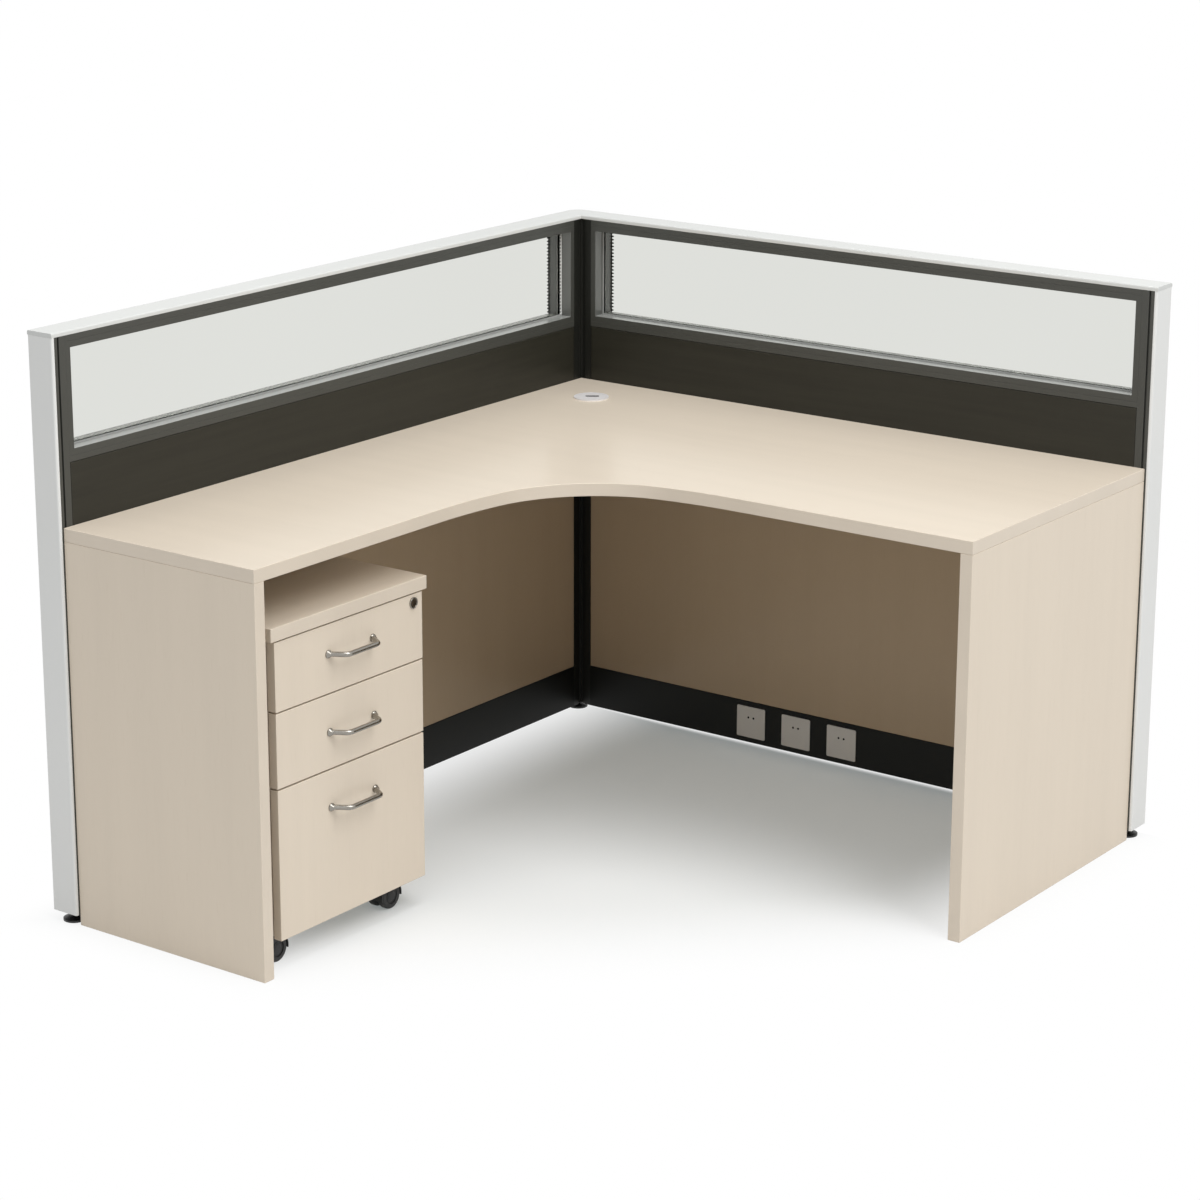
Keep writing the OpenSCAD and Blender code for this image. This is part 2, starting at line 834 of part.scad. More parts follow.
// Runner members at both sides of a drawer, mirrored about its middle
module runner_pair(k, inset, h, lip, x_front) {
    for (s = [0, 1])
        translate([x_front, ped_cy, runner_z(k)]) mirror([0, s, 0])
            translate([0, -inset, 0]) rotate([90, 0, -90]) mirror([1, 0, 0]) linear_extrude(runner_l)
                channel(h, lip);
}

module cabinet_runners() {
    color(STEEL) for (k = [0:2])
        runner_pair(k, pedestal_w / 2 - panel_t, runner_h, runner_lip, ped_x1);
}

// Drawer member, nested inside the cabinet member with its lips facing out
module drawer_runners(k) {
    color(STEEL) for (s = [0, 1])
        translate([ped_x1, ped_cy, runner_z(k)]) mirror([0, s, 0])
            translate([0, -box_w / 2, 0]) rotate([90, 0, -90]) linear_extrude(runner_l)
                channel(runner_h - 2 * runner_t - 2 * runner_gap, runner_back_lip);
}

// Overlay front; the top one is bored for the lock
module drawer_front(k) {
    color(MAPLE) difference() {
        block(front_x0, front_x1, ped_y0, ped_y1, front_bottoms[k], front_tops[k]);
        if (k == 0) translate([front_x0 - overrun, lock_y, lock_z]) rotate([0, 90, 0])
            cylinder(h = panel_t + 2 * overrun, r = lock_body_r + pin_fit);
    }
}

// Open-topped drawer: two sides, a back and a raised base, closed by the front
module drawer_box(k) {
    z0 = box_bottoms[k];
    z1 = z0 + box_heights[k];
    x0 = front_x0 - drawer_l;
    y0 = ped_cy - box_w / 2;
    y1 = ped_cy + box_w / 2;
    color(PALE) {
        block(x0, front_x0, y0, y0 + drawer_side_t, z0, z1);
        block(x0, front_x0, y1 - drawer_side_t, y1, z0, z1);
        block(x0, x0 + drawer_side_t, y0 + drawer_side_t, y1 - drawer_side_t, z0, z1);
        block(x0 + drawer_side_t, front_x0, y0 + drawer_side_t, y1 - drawer_side_t, z0 + base_lift,
            z0 + base_lift + base_t);
    }
}

// One half of a bow handle: flared foot, leaning leg, bend and half of the bar
module handle_half() {
    translate([0, handle_pitch / 2, 0]) {
        rotate([0, 90, 0]) cylinder(h = handle_foot_t, r = handle_foot_r);
        rotate([0, 90, 0]) translate([0, 0, handle_foot_t])
            cylinder(h = handle_flare_h, r1 = handle_foot_r, r2 = handle_d / 4);
        rotate(-atan2(handle_lean, handle_reach)) rotate([0, 90, 0])
            cylinder(h = handle_leg - handle_tangent + handle_enter, d = handle_d - 2 * handle_seam);
    }
    bend_y = handle_pitch / 2 - handle_lean - handle_tangent;
    translate([handle_reach - handle_bend_r, bend_y, 0])
        rotate_extrude(angle = handle_turn) translate([handle_bend_r, 0]) circle(d = handle_d);
    translate([handle_reach, 0, 0]) rotate([-90, 0, 0]) cylinder(h = bend_y, d = handle_d);
}

module drawer_handle(k) {
    drop = k == 0 ? top_handle_drop : handle_drop;
    color(STEEL) translate([front_x1, ped_cy, front_tops[k] - drop]) intersection() {
        for (s = [0, 1]) mirror([0, s, 0]) handle_half();
        block(0, handle_out + overrun, -handle_pitch, handle_pitch, -handle_pitch, handle_pitch);
    }
}

// Cam lock: head, body in the front, neck and a cam that lies towards the drawer's middle
module lock_barrel() {
    neck_x = front_x0 - lock_neck_l;
    color(STEEL) translate([0, lock_y, lock_z]) difference() {
        union() {
            translate([front_x1, 0, 0]) rotate([0, 90, 0]) cylinder(h = lock_proud, d = lock_head_d);
            translate([front_x0, 0, 0]) rotate([0, 90, 0]) cylinder(h = panel_t, r = lock_body_r);
            translate([neck_x, 0, 0]) rotate([0, 90, 0]) cylinder(h = lock_neck_l, r = lock_neck_r);
            block(neck_x - cam_t, neck_x, -cam_l, cam_w / 2, -cam_w / 2, cam_w / 2);
        }
        block(front_x1 + lock_proud - keyway_deep, front_x1 + lock_proud + overrun,
            -keyway_w / 2, keyway_w / 2, -keyway_l / 2, keyway_l / 2);
    }
}

// Disc across the caster, about the axle
module across(w, r) {
    translate([caster_trail, w / 2, axle_z]) rotate([90, 0, 0]) cylinder(h = w, r = r);
}

// Hood over the twin wheels: web, rolled cover, boss, collar and stem
module caster_housing(k) {
    place_caster(k) color(BLACK) difference() {
        union() {
            across(caster_w, hood_r);
            translate([0, 0, axle_z]) cylinder(h = caster_h - axle_z - collar_h, d = boss_d);
            translate([0, 0, caster_h - collar_h]) cylinder(h = collar_h, d = collar_d);
            translate([0, 0, caster_h]) cylinder(h = panel_t, d = stem_d);
        }
        for (s = [-1, 1])
            translate([0, s * (caster_web_w + caster_w) / 2, 0]) across(caster_w, wheel_d / 2 + hood_gap);
        across(caster_w + 2 * overrun, axle_d / 2 + pin_fit);
        block(caster_trail - 2 * hood_r, caster_trail + 2 * hood_r, -caster_w, caster_w,
            axle_z - hood_r - overrun, axle_z - hood_dip);
    }
}

// One wheel with a rounded tread and a dished hub, lying on its inner face
module wheel_half() {
    r = wheel_d / 2;
    rotate_extrude() difference() {
        union() {
            field(0, r - tyre_edge_r, 0, wheel_w);
            field(0, r, tyre_edge_r, wheel_w - tyre_edge_r);
            for (z = [tyre_edge_r, wheel_w - tyre_edge_r])
                translate([r - tyre_edge_r, z]) circle(tyre_edge_r);
        }
        field(axle_d, hub_r_share * r, wheel_w - hub_dish, wheel_w + overrun);
    }
}

// Twin wheels on their axle
module caster_wheels(k) {
    inner = caster_web_w / 2 + wheel_gap;
    place_caster(k) color(CHARCOAL) {
        across(2 * (inner + wheel_w), axle_d / 2);
        for (s = [0, 1])
            translate([caster_trail, 0, axle_z]) mirror([0, s, 0])
                translate([0, inner, 0]) rotate([-90, 0, 0]) wheel_half();
    }
}

// Casters 0 and 1 are at the front, 2 and 3 at the back, each pair from left to right
module place_caster(k) {
    translate([caster_xs[floor(k / 2)], caster_ys[k % 2], 0]) rotate(caster_turn) children();
}

corner_post();
corner_cap();
screen_stiles();
screen_rails();
end_posts();
end_caps();
back_top_cap();
side_top_cap();
back_window_frame();
side_window_frame();
back_glass();
side_glass();
back_upper_tile();
side_upper_tile();
back_lower_tile();
side_lower_tile();
outer_upper_tiles();
outer_lower_tiles();
back_skirting();
side_skirting();
outer_skirting();
socket_plates();
foot_corner();
foot_back();
foot_side();
worktop();
left_gable();
right_gable();
worktop_brackets();
grommet_ring();
grommet_cap();
pedestal_top();
pedestal_left_side();
pedestal_right_side();
pedestal_back();
pedestal_bottom();
cabinet_runners();
drawer_front(0);  // drawer_1_front
drawer_front(1);  // drawer_2_front
drawer_front(2);  // drawer_3_front
drawer_box(0);  // drawer_1_box
drawer_box(1);  // drawer_2_box
drawer_box(2);  // drawer_3_box
drawer_runners(0);  // drawer_1_runners
drawer_runners(1);  // drawer_2_runners
drawer_runners(2);  // drawer_3_runners
drawer_handle(0);  // drawer_1_handle
drawer_handle(1);  // drawer_2_handle
drawer_handle(2);  // drawer_3_handle
lock_barrel();
caster_housing(0);  // caster_1_housing
caster_housing(1);  // caster_2_housing
caster_housing(2);  // caster_3_housing
caster_housing(3);  // caster_4_housing
caster_wheels(0);  // caster_1_wheels
caster_wheels(1);  // caster_2_wheels
caster_wheels(2);  // caster_3_wheels
caster_wheels(3);  // caster_4_wheels
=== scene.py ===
# %% [markdown]
# # A cubicle workstation, dressed for the studio
#
# The workstation is an L: two glazed screens meet at a corner post, a maple worktop with a
# concave inner edge stands on two gables, and a small pedestal on casters is parked under one wing.
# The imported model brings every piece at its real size, so this lesson is about finish: softened
# board edges, edging strips, seal combs, screws, and the laminates, powder coats and metals.

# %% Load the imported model
import json
import math

import bpy
from mathutils import Euler, Matrix, Vector


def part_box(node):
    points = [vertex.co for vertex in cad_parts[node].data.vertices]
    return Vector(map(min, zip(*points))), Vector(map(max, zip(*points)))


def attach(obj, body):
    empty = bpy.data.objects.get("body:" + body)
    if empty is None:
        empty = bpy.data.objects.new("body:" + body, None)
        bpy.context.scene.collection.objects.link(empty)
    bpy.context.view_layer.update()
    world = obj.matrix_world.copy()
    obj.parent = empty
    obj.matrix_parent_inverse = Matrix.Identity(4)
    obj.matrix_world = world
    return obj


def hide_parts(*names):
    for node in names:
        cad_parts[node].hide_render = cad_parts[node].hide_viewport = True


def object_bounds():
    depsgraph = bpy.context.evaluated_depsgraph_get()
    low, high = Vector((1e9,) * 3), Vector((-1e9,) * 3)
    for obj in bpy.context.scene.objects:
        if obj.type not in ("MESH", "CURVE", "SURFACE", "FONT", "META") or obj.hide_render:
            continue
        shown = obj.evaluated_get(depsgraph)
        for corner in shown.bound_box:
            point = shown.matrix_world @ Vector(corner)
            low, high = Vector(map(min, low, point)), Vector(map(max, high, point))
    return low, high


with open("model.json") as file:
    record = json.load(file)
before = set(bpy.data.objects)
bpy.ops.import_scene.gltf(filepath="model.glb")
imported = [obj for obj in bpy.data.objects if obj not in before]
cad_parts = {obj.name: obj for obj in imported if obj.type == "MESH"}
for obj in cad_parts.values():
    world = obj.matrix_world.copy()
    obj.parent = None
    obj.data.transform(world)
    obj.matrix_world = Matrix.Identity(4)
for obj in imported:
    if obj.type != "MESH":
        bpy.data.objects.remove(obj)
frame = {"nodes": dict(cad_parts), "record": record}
cad_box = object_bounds()
nodes = frame["nodes"]
body_of_node = {n: b for b, ns in frame["record"]["behaviour"]["bodies"].items() for n in ns}
joint_place = {j["name"]: Vector(j["pos_m"]) for j in frame["record"]["behaviour"]["joints"]}
print("nodes loaded:", len(nodes), "in bodies:", len(set(body_of_node.values())))

# %% [markdown]
# ## The camera
#
# The photograph was taken from in front and to the right, from a little above head height, with a
# long lens that keeps the uprights nearly parallel. A camera object takes three angles: its tilt
# down, its roll and its heading. The heading is written as the direction of sight on the plan,
# counted from +X. Blender's camera looks along its own -Z, so the code adds or takes off a quarter
# turn.

# %% Place the camera
CAMERA_PLACE = Vector((3.3431, -4.6315, 2.2309))
CAMERA_HEADING = math.radians(126.2067)
CAMERA_TILT = math.radians(-15.3853)
CAMERA_ROLL = math.radians(0.1386)
CAMERA_LENS = 96.2068
CAMERA_SENSOR = 36.0
CAMERA_RISE = -0.05
CAMERA_REACH = 60


def add_camera():
    """Adds the camera at the photograph's viewpoint and makes it the scene's own."""
    bpy.ops.object.camera_add(location=CAMERA_PLACE)
    camera = bpy.context.object
    camera.name = "studio_camera"
    aim = Euler((math.pi / 2 + CAMERA_TILT, 0, CAMERA_HEADING - math.pi / 2)).to_matrix()
    camera.rotation_euler = (aim @ Matrix.Rotation(CAMERA_ROLL, 3, "Z")).to_euler()
    camera.data.lens = CAMERA_LENS
    camera.data.sensor_width = CAMERA_SENSOR
    camera.data.shift_y = CAMERA_RISE
    camera.data.clip_end = CAMERA_REACH
    bpy.context.scene.camera = camera
    return camera


camera = add_camera()
print("camera looks along", [round(v, 3) for v in -camera.matrix_basis.col[2].xyz])

# %% [markdown]
# ## Modelling helpers
#
# Operators work on whatever is selected, so every helper starts by clearing the selection. Then it
# picks edges and faces by rule, such as "sharper than thirty degrees" or "facing along X", the way
# a maker would click on them. A face counts as facing along an axis when its normal's share of that
# axis is above FACING. A rule is a small function of a face's centre and normal, or of a point.

# %% Selection and edit mode
FACING = 0.9


def clear_selection():
    """Leaves edit mode and deselects every object."""
    if bpy.context.object and bpy.context.object.mode != "OBJECT":
        bpy.ops.object.mode_set(mode="OBJECT")
    bpy.ops.object.select_all(action="DESELECT")


def pick(piece):
    """Makes one object the only selected and the active one."""
    clear_selection()
    piece.select_set(True)
    bpy.context.view_layer.objects.active = piece


def open_mesh(piece, mode="FACE"):
    """Opens a piece in edit mode with nothing selected."""
    pick(piece)
    bpy.ops.object.mode_set(mode="EDIT")
    bpy.ops.mesh.select_mode(type=mode)
    bpy.ops.mesh.select_all(action="DESELECT")


def select_faces(piece, rule):
    """Selects the faces whose centre and normal satisfy a rule; returns how many."""
    bpy.ops.object.mode_set(mode="OBJECT")
    chosen = 0
    for face in piece.data.polygons:
        face.select = bool(rule(face.center, face.normal))
        chosen += face.select
    bpy.ops.object.mode_set(mode="EDIT")
    return chosen


def select_points(piece, rule):
    """Selects the points whose place satisfies a rule; returns how many."""
    bpy.ops.object.mode_set(mode="OBJECT")
    chosen = 0
    for point in piece.data.vertices:
        point.select = bool(rule(point.co))
        chosen += point.select
    bpy.ops.object.mode_set(mode="EDIT")
    bpy.ops.mesh.select_mode(type="VERT")
    return chosen


def close_mesh(piece):
    """Returns to object mode and puts the piece's place into its mesh."""
    bpy.ops.object.mode_set(mode="OBJECT")
    pick(piece)
    bpy.ops.object.transform_apply(location=True, rotation=True, scale=True)


# %% [markdown]
# ## Copies of imported nodes
#
# A imported node arrives as loose triangles. A copy of it is merged, and its flat faces are dissolved
# into single ones, so that bevels find real edges. Each finished copy then stands for its node: it
# rides on the node's body, and the node itself is hidden.

# %% Copies of imported nodes
MERGE_REACH = 0.00001
FLAT_TURN = math.radians(0.8)
SHARP_TURN = math.radians(32)


def copy_node(node, name):
    """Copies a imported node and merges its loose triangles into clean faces."""
    piece = bpy.data.objects.new(name, nodes[node].data.copy())
    bpy.context.scene.collection.objects.link(piece)
    piece.data.materials.clear()
    open_mesh(piece, "VERT")
    bpy.ops.mesh.select_all(action="SELECT")
    bpy.ops.mesh.remove_doubles(threshold=MERGE_REACH)
    bpy.ops.mesh.dissolve_limited(angle_limit=FLAT_TURN)
    bpy.ops.object.mode_set(mode="OBJECT")
    return piece


def ease_edges(piece, width, segments=3):
    """Rounds every sharp edge of a piece by a small bevel."""
    open_mesh(piece, "EDGE")
    bpy.ops.mesh.edges_select_sharp(sharpness=SHARP_TURN)
    bpy.ops.mesh.bevel(offset=width, offset_type="OFFSET", segments=segments, clamp_overlap=True)
    bpy.ops.object.mode_set(mode="OBJECT")


def smooth(piece, turn=SHARP_TURN):
    """Shades curved faces smooth, keeps corners crisp and lets the large faces rule the shading."""
    pick(piece)
    bpy.ops.object.shade_smooth_by_angle(angle=turn)
    weighted = piece.modifiers.new("large_faces_rule", "WEIGHTED_NORMAL")
    weighted.keep_sharp = True
    bpy.ops.object.modifier_apply(modifier=weighted.name)


def seat(piece, node, material):
    """Lets a piece stand for a node: its body and its finish."""
    piece.data.materials.clear()
    piece.data.materials.append(material)
    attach(piece, body_of_node[node])
    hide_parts(node)


# %% [markdown]
# ## Shader helpers
#
# Every finish here is a Principled shader fed by a few noise textures on Object coordinates. The
# pieces sit at the origin with their place in the mesh, so Object coordinates are metres in the
# room, and a pattern runs on from board to board without stretching.

# %% Building a material
def new_finish(name, roughness, metallic=0.0, specular=0.5):
    """Starts a material and returns it with its node tree and its Principled shader."""
    material = bpy.data.materials.new(name)
    material.use_nodes = True
    shader = material.node_tree.nodes["Principled BSDF"]
    shader.inputs["Roughness"].default_value = roughness
    shader.inputs["Metallic"].default_value = metallic
    shader.inputs["Specular IOR Level"].default_value = specular
    return material, material.node_tree, shader


def pattern(tree, kind, scale, stretch=(1, 1, 1), **settings):
    """Adds a texture on Object coordinates, stretched along the axes; returns its node."""
    place = tree.nodes.new("ShaderNodeTexCoord")
    mapping = tree.nodes.new("ShaderNodeMapping")
    mapping.inputs["Scale"].default_value = stretch
    texture = tree.nodes.new(kind)
    texture.inputs["Scale"].default_value = scale
    for setting, value in settings.items():
        texture.inputs[setting.replace("_", " ").title()].default_value = value
    tree.links.new(place.outputs["Object"], mapping.inputs["Vector"])
    tree.links.new(mapping.outputs["Vector"], texture.inputs["Vector"])
    return texture


def ramp(tree, source, stops):
    """Adds a colour ramp fed by a texture's factor; stops are (place, colour) pairs."""
    node = tree.nodes.new("ShaderNodeValToRGB")
    while len(node.color_ramp.elements) < len(stops):
        node.color_ramp.elements.new(0.5)
    for element, (place, colour) in zip(node.color_ramp.elements, stops):
        element.position = place
        element.color = (*colour, 1)
    tree.links.new(source, node.inputs["Fac"])
    return node.outputs["Color"]


def blend_colours(tree, kind, amount, first, second):
    """Mixes two colours; amount may be a number or a socket."""
    node = tree.nodes.new("ShaderNodeMix")
    node.data_type = "RGBA"
    node.blend_type = kind
    if isinstance(amount, (int, float)):
        node.inputs["Factor"].default_value = amount
    else:
        tree.links.new(amount, node.inputs["Factor"])
    tree.links.new(first, node.inputs["A"])
    tree.links.new(second, node.inputs["B"])
    return node.outputs["Result"]


def spread(tree, source, low, high):
    """Maps a factor from 0..1 to a range."""
    node = tree.nodes.new("ShaderNodeMapRange")
    node.inputs["To Min"].default_value = low
    node.inputs["To Max"].default_value = high
    tree.links.new(source, node.inputs["Value"])
    return node.outputs["Result"]


def bump(tree, shader, source, strength, distance):
    """Feeds a height into the shader's normal."""
    node = tree.nodes.new("ShaderNodeBump")
    node.inputs["Strength"].default_value = strength
    node.inputs["Distance"].default_value = distance
    tree.links.new(source, node.inputs["Height"])
    tree.links.new(node.outputs["Normal"], shader.inputs["Normal"])


def shade(colour, factor):
    """A colour made lighter or darker by a factor."""
    return tuple(channel * factor for channel in colour)


# %% [markdown]
# ## Maple laminate
#
# The boards are chipboard faced with a pale maple print under melamine. Three things show up close:
# broad soft clouds of tone along the grain, fine darker pores, and a faint unevenness in the gloss.
# A noise texture squeezed across the grain gives both the clouds and the pores. The lower tiles of the
# screens are darker than the desk: painted shade, set to the shade under the desk. The edging strips
# are plain and a little duller.

# %% Maple laminate
MAPLE = (0.745, 0.650, 0.532)
# Painted shade: the lower tiles' maple, darkened to the shade under the desk.
SHADED_MAPLE_TILE = (0.510, 0.398, 0.272)
EDGE = (0.700, 0.610, 0.499)
GRAIN_SCALE, GRAIN_ACROSS = 1.6, 14
PORES_SCALE, PORES_ACROSS = 22, 22
PORE_TONE, PORE_SHARE = (0.93, 0.915, 0.89), 0.35
MAPLE_GLOSS, EDGE_GLOSS = (0.20, 0.26), 0.36


def along(axis, across):
    """Stretch for a pattern that runs along one axis."""
    return tuple(1 if letter == axis else across for letter in "XYZ")


def maple_laminate(name, colour, grain):
    """Maple print with clouds, pores and an uneven sheen, its grain along X, Y or Z."""
    material, tree, shader = new_finish(name, sum(MAPLE_GLOSS) / 2, specular=0.18)
    clouds = pattern(tree, "ShaderNodeTexNoise", GRAIN_SCALE, along(grain, GRAIN_ACROSS),
                     detail=5, roughness=0.55)
    tones = ramp(tree, clouds.outputs["Fac"],
                 [(0.30, shade(colour, 0.984)), (0.52, colour), (0.74, shade(colour, 1.012))])
    pores = pattern(tree, "ShaderNodeTexNoise", PORES_SCALE, along(grain, PORES_ACROSS),
                    detail=3, roughness=0.6)
    flecks = ramp(tree, pores.outputs["Fac"], [(0.30, PORE_TONE), (0.42, (1, 1, 1))])
    figured = blend_colours(tree, "MULTIPLY", PORE_SHARE, tones, flecks)
    tree.links.new(figured, shader.inputs["Base Color"])
    sheen = pattern(tree, "ShaderNodeTexNoise", 3, detail=2)
    tree.links.new(spread(tree, sheen.outputs["Fac"], *MAPLE_GLOSS), shader.inputs["Roughness"])
    bump(tree, shader, pores.outputs["Fac"], 0.04, 0.0001)
    return material


maple = {axis: maple_laminate(f"maple_along_{axis.lower()}", MAPLE, axis) for axis in "XYZ"}
shaded_maple_tile = maple_laminate("lower_tile_painted_shade", SHADED_MAPLE_TILE, "Z")


def edging_strip():
    """Plain edging of nearly the same tone, a little duller and without figure."""
    material, tree, shader = new_finish("maple_edging", EDGE_GLOSS)
    drift = pattern(tree, "ShaderNodeTexNoise", 9, detail=3)
    tones = ramp(tree, drift.outputs["Fac"], [(0.35, shade(EDGE, 0.985)), (0.65, shade(EDGE, 1.02))])
    tree.links.new(tones, shader.inputs["Base Color"])
    bump(tree, shader, drift.outputs["Fac"], 0.04, 0.0002)
    return material


edging = edging_strip()
print("maple finishes:", [m.name for m in maple.values()], shaded_maple_tile.name, edging.name)

# %% [markdown]
# ## Powder coat, anodising and moulded plastics
#
# Powder coat has a very fine orange-peel skin. Anodised caps are matt and paler, with a flatter
# skin. Moulded plastics have a faint spark-eroded texture. All three are one recipe: a nearly flat
# colour, a slow drift in tone, an uneven gloss and a fine bump. Each call gives the coat's name, its
# colour, its roughness, how fine its skin is and how strongly the skin shows.

# %% Coated and moulded finishes
GLOSS_DRIFT = 0.05
SKIN_HEIGHT = 0.0002


def coated(name, colour, roughness, grain_scale, relief, metallic=0.0, drift=0.04, specular=0.5):
    """Even coat with a slow drift in tone, uneven gloss and a fine skin."""
    material, tree, shader = new_finish(name, roughness, metallic, specular)
    cloud = pattern(tree, "ShaderNodeTexNoise", 2.2, detail=4)
    tones = ramp(tree, cloud.outputs["Fac"],
                 [(0.3, shade(colour, 1 - drift)), (0.7, shade(colour, 1 + drift))])
    tree.links.new(tones, shader.inputs["Base Color"])
    skin = pattern(tree, "ShaderNodeTexNoise", grain_scale, detail=2)
    gloss = spread(tree, skin.outputs["Fac"], roughness - GLOSS_DRIFT, roughness + GLOSS_DRIFT)
    tree.links.new(gloss, shader.inputs["Roughness"])
    bump(tree, shader, skin.outputs["Fac"], relief, SKIN_HEIGHT)
    return material


charcoal_coat = coated("charcoal_powder_coat", (0.052, 0.053, 0.046), 0.42, 900, 0.10)
# Painted shade: the corner post's coat is the frame's charcoal darkened, for the shade of the inside
# corner.
corner_shade_coat = coated("corner_painted_shade", (0.012, 0.0125, 0.0100), 0.44, 900, 0.10, specular=0.38)
# Painted light: the window's linings are paler than the frame where light falls on them, and the sill
# paler still as a painted reflection of the bright surround.
reveal_painted_light = coated("window_reveal_painted_light", (0.10, 0.102, 0.094), 0.20, 900, 0.03, specular=1.0)
sill_painted_reflection = coated("window_sill_painted_reflection", (0.30, 0.305, 0.292), 0.20, 900, 0.03, specular=1.0)
pale_anodised = coated("pale_anodised", (0.775, 0.775, 0.755), 0.50, 500, 0.04,
                       drift=0.015, specular=0.12)
# Painted shade: the top caps take the end caps' anodising darkened, so their tops, lit from above,
# come out no brighter.
top_cap_painted_shade = coated("top_cap_painted_shade", (0.655, 0.66, 0.64), 0.50, 500, 0.04,
                      drift=0.015, specular=0.12)
black_coat = coated("black_skirting_coat", (0.006, 0.0064, 0.0050), 0.48, 700, 0.06, specular=0.25)
black_moulded = coated("black_moulded", (0.010, 0.010, 0.010), 0.38, 1200, 0.08)
white_moulded = coated("white_moulded", (0.76, 0.735, 0.725), 0.36, 900, 0.05, drift=0.01)
socket_moulded = coated("socket_moulded", (0.76, 0.745, 0.70), 0.36, 900, 0.04, drift=0.01)
seal_rubber = coated("seal_rubber", (0.020, 0.020, 0.019), 0.62, 1500, 0.12)
# Painted reflection: the gaskets' pale grey matches the sill's painted reflection, over the dark
# joints.
gasket_painted_reflection = coated("gasket_painted_reflection", (0.36, 0.365, 0.35), 0.5, 1500, 0.05)
# Painted light: the pane comb's pale rubber stands for light that comes through the pane's edge.
seal_painted_light = coated("seal_painted_light", (0.78, 0.78, 0.76), 0.5, 1500, 0.05)
tyre_rubber = coated("caster_tread", (0.022, 0.022, 0.022), 0.55, 1200, 0.12)
drawer_coat = coated("drawer_lining", (0.60, 0.59, 0.56), 0.42, 900, 0.06, drift=0.02)
zinc_plate = coated("zinc_plate", (0.56, 0.56, 0.54), 0.34, 300, 0.05, metallic=1.0, drift=0.08)
print("frame coats:", [m.name for m in (black_coat, corner_shade_coat, charcoal_coat, pale_anodised)])

# %% [markdown]
# ## Charcoal tile
#
# The tile above the worktop is a darker laminate with a faint horizontal figure. One noise, squeezed
# in height so that it runs along the screens, drives the tone, the gloss and the relief together, as
# they belong together on a printed and pressed sheet.

# %% Charcoal tile
CHARCOAL_TILE = (0.0258, 0.0244, 0.0175)
CHARCOAL_GLOSS = (0.34, 0.46)
FIGURE_STRETCH = (1, 1, 22)


def charcoal_laminate():
    """Dark laminate with a faint figure that runs along the screens."""
    material, tree, shader = new_finish("charcoal_laminate", sum(CHARCOAL_GLOSS) / 2, specular=0.26)
    figure = pattern(tree, "ShaderNodeTexNoise", 3, FIGURE_STRETCH, detail=6, roughness=0.6)
    tones = ramp(tree, figure.outputs["Fac"],
                 [(0.3, shade(CHARCOAL_TILE, 0.86)), (0.7, shade(CHARCOAL_TILE, 1.14))])
    tree.links.new(tones, shader.inputs["Base Color"])
    tree.links.new(spread(tree, figure.outputs["Fac"], *CHARCOAL_GLOSS), shader.inputs["Roughness"])
    bump(tree, shader, figure.outputs["Fac"], 0.05, 0.0002)
    return material


charcoal_tile = charcoal_laminate()
print("tile finish:", charcoal_tile.name)

# %% [markdown]
# ## Brushed nickel
#
# The handles are bent from bar and brushed along their length, so their noise is stretched along Y.
# Pale and dark lines side by side, each with its own gloss, break the reflections up into streaks.

# %% Brushed nickel
NICKEL_DARK, NICKEL_LIGHT = (0.25, 0.235, 0.21), (0.37, 0.35, 0.315)
NICKEL_GLOSS = (0.16, 0.25)
BRUSH_SCALE, BRUSH_STRETCH = 60, (30, 1, 30)


def brushed_nickel():
    """Warm brushed metal with fine lines along the bar."""
    material, tree, shader = new_finish("brushed_nickel", sum(NICKEL_GLOSS) / 2, metallic=1.0)
    lines = pattern(tree, "ShaderNodeTexNoise", BRUSH_SCALE, BRUSH_STRETCH, detail=4, roughness=0.7)
    tones = ramp(tree, lines.outputs["Fac"], [(0.3, NICKEL_DARK), (0.7, NICKEL_LIGHT)])
    tree.links.new(tones, shader.inputs["Base Color"])
    tree.links.new(spread(tree, lines.outputs["Fac"], *NICKEL_GLOSS), shader.inputs["Roughness"])
    bump(tree, shader, lines.outputs["Fac"], 0.06, 0.0001)
    return material


nickel = brushed_nickel()
print("metal finish:", nickel.name)

# %% [markdown]
# ## Window glass
#
# Each window has a single tinted pane: the tint goes on the transmission colour, once for each of
# its two surfaces. Its index of refraction is 1, so it neither bends nor mirrors what is around it
# and stays evenly pale, as the panes in the photograph do.

# %% Window glass
TINT_DEEP, TINT_PALE = (0.733, 0.741, 0.708), (0.743, 0.751, 0.718)


def window_glass():
    """Clear pane with a pale grey-green tint that drifts a little across it."""
    material, tree, shader = new_finish("window_glass", 0.02)
    shader.inputs["Transmission Weight"].default_value = 1.0
    shader.inputs["IOR"].default_value = 1.0
    wave = pattern(tree, "ShaderNodeTexNoise", 1.2, detail=1)
    tones = ramp(tree, wave.outputs["Fac"], [(0.3, TINT_DEEP), (0.7, TINT_PALE)])
    tree.links.new(tones, shader.inputs["Base Color"])
    return material


glass = window_glass()
print("pane finish:", glass.name)

# %% [markdown]
# ## Boards with softened edges
#
# Every board is cut square, edged with a thin strip and eased by a router, so its corners catch a
# narrow line of light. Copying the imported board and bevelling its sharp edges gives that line. The
# faces that look sideways out of a board get the plain edging in place of the printed grain.

# %% Maple boards
BOARD_EASE = 0.0012
PRINTED = 0.7
BOARD_GRAIN = {"worktop": "X", "left_gable": "Z", "right_gable": "Z", "pedestal_top": "Y",
               "pedestal_left_side": "Z", "pedestal_right_side": "Z", "pedestal_back": "Z",
               "pedestal_bottom": "X",
               "drawer_1_front": "Z", "drawer_2_front": "Z", "drawer_3_front": "Z"}


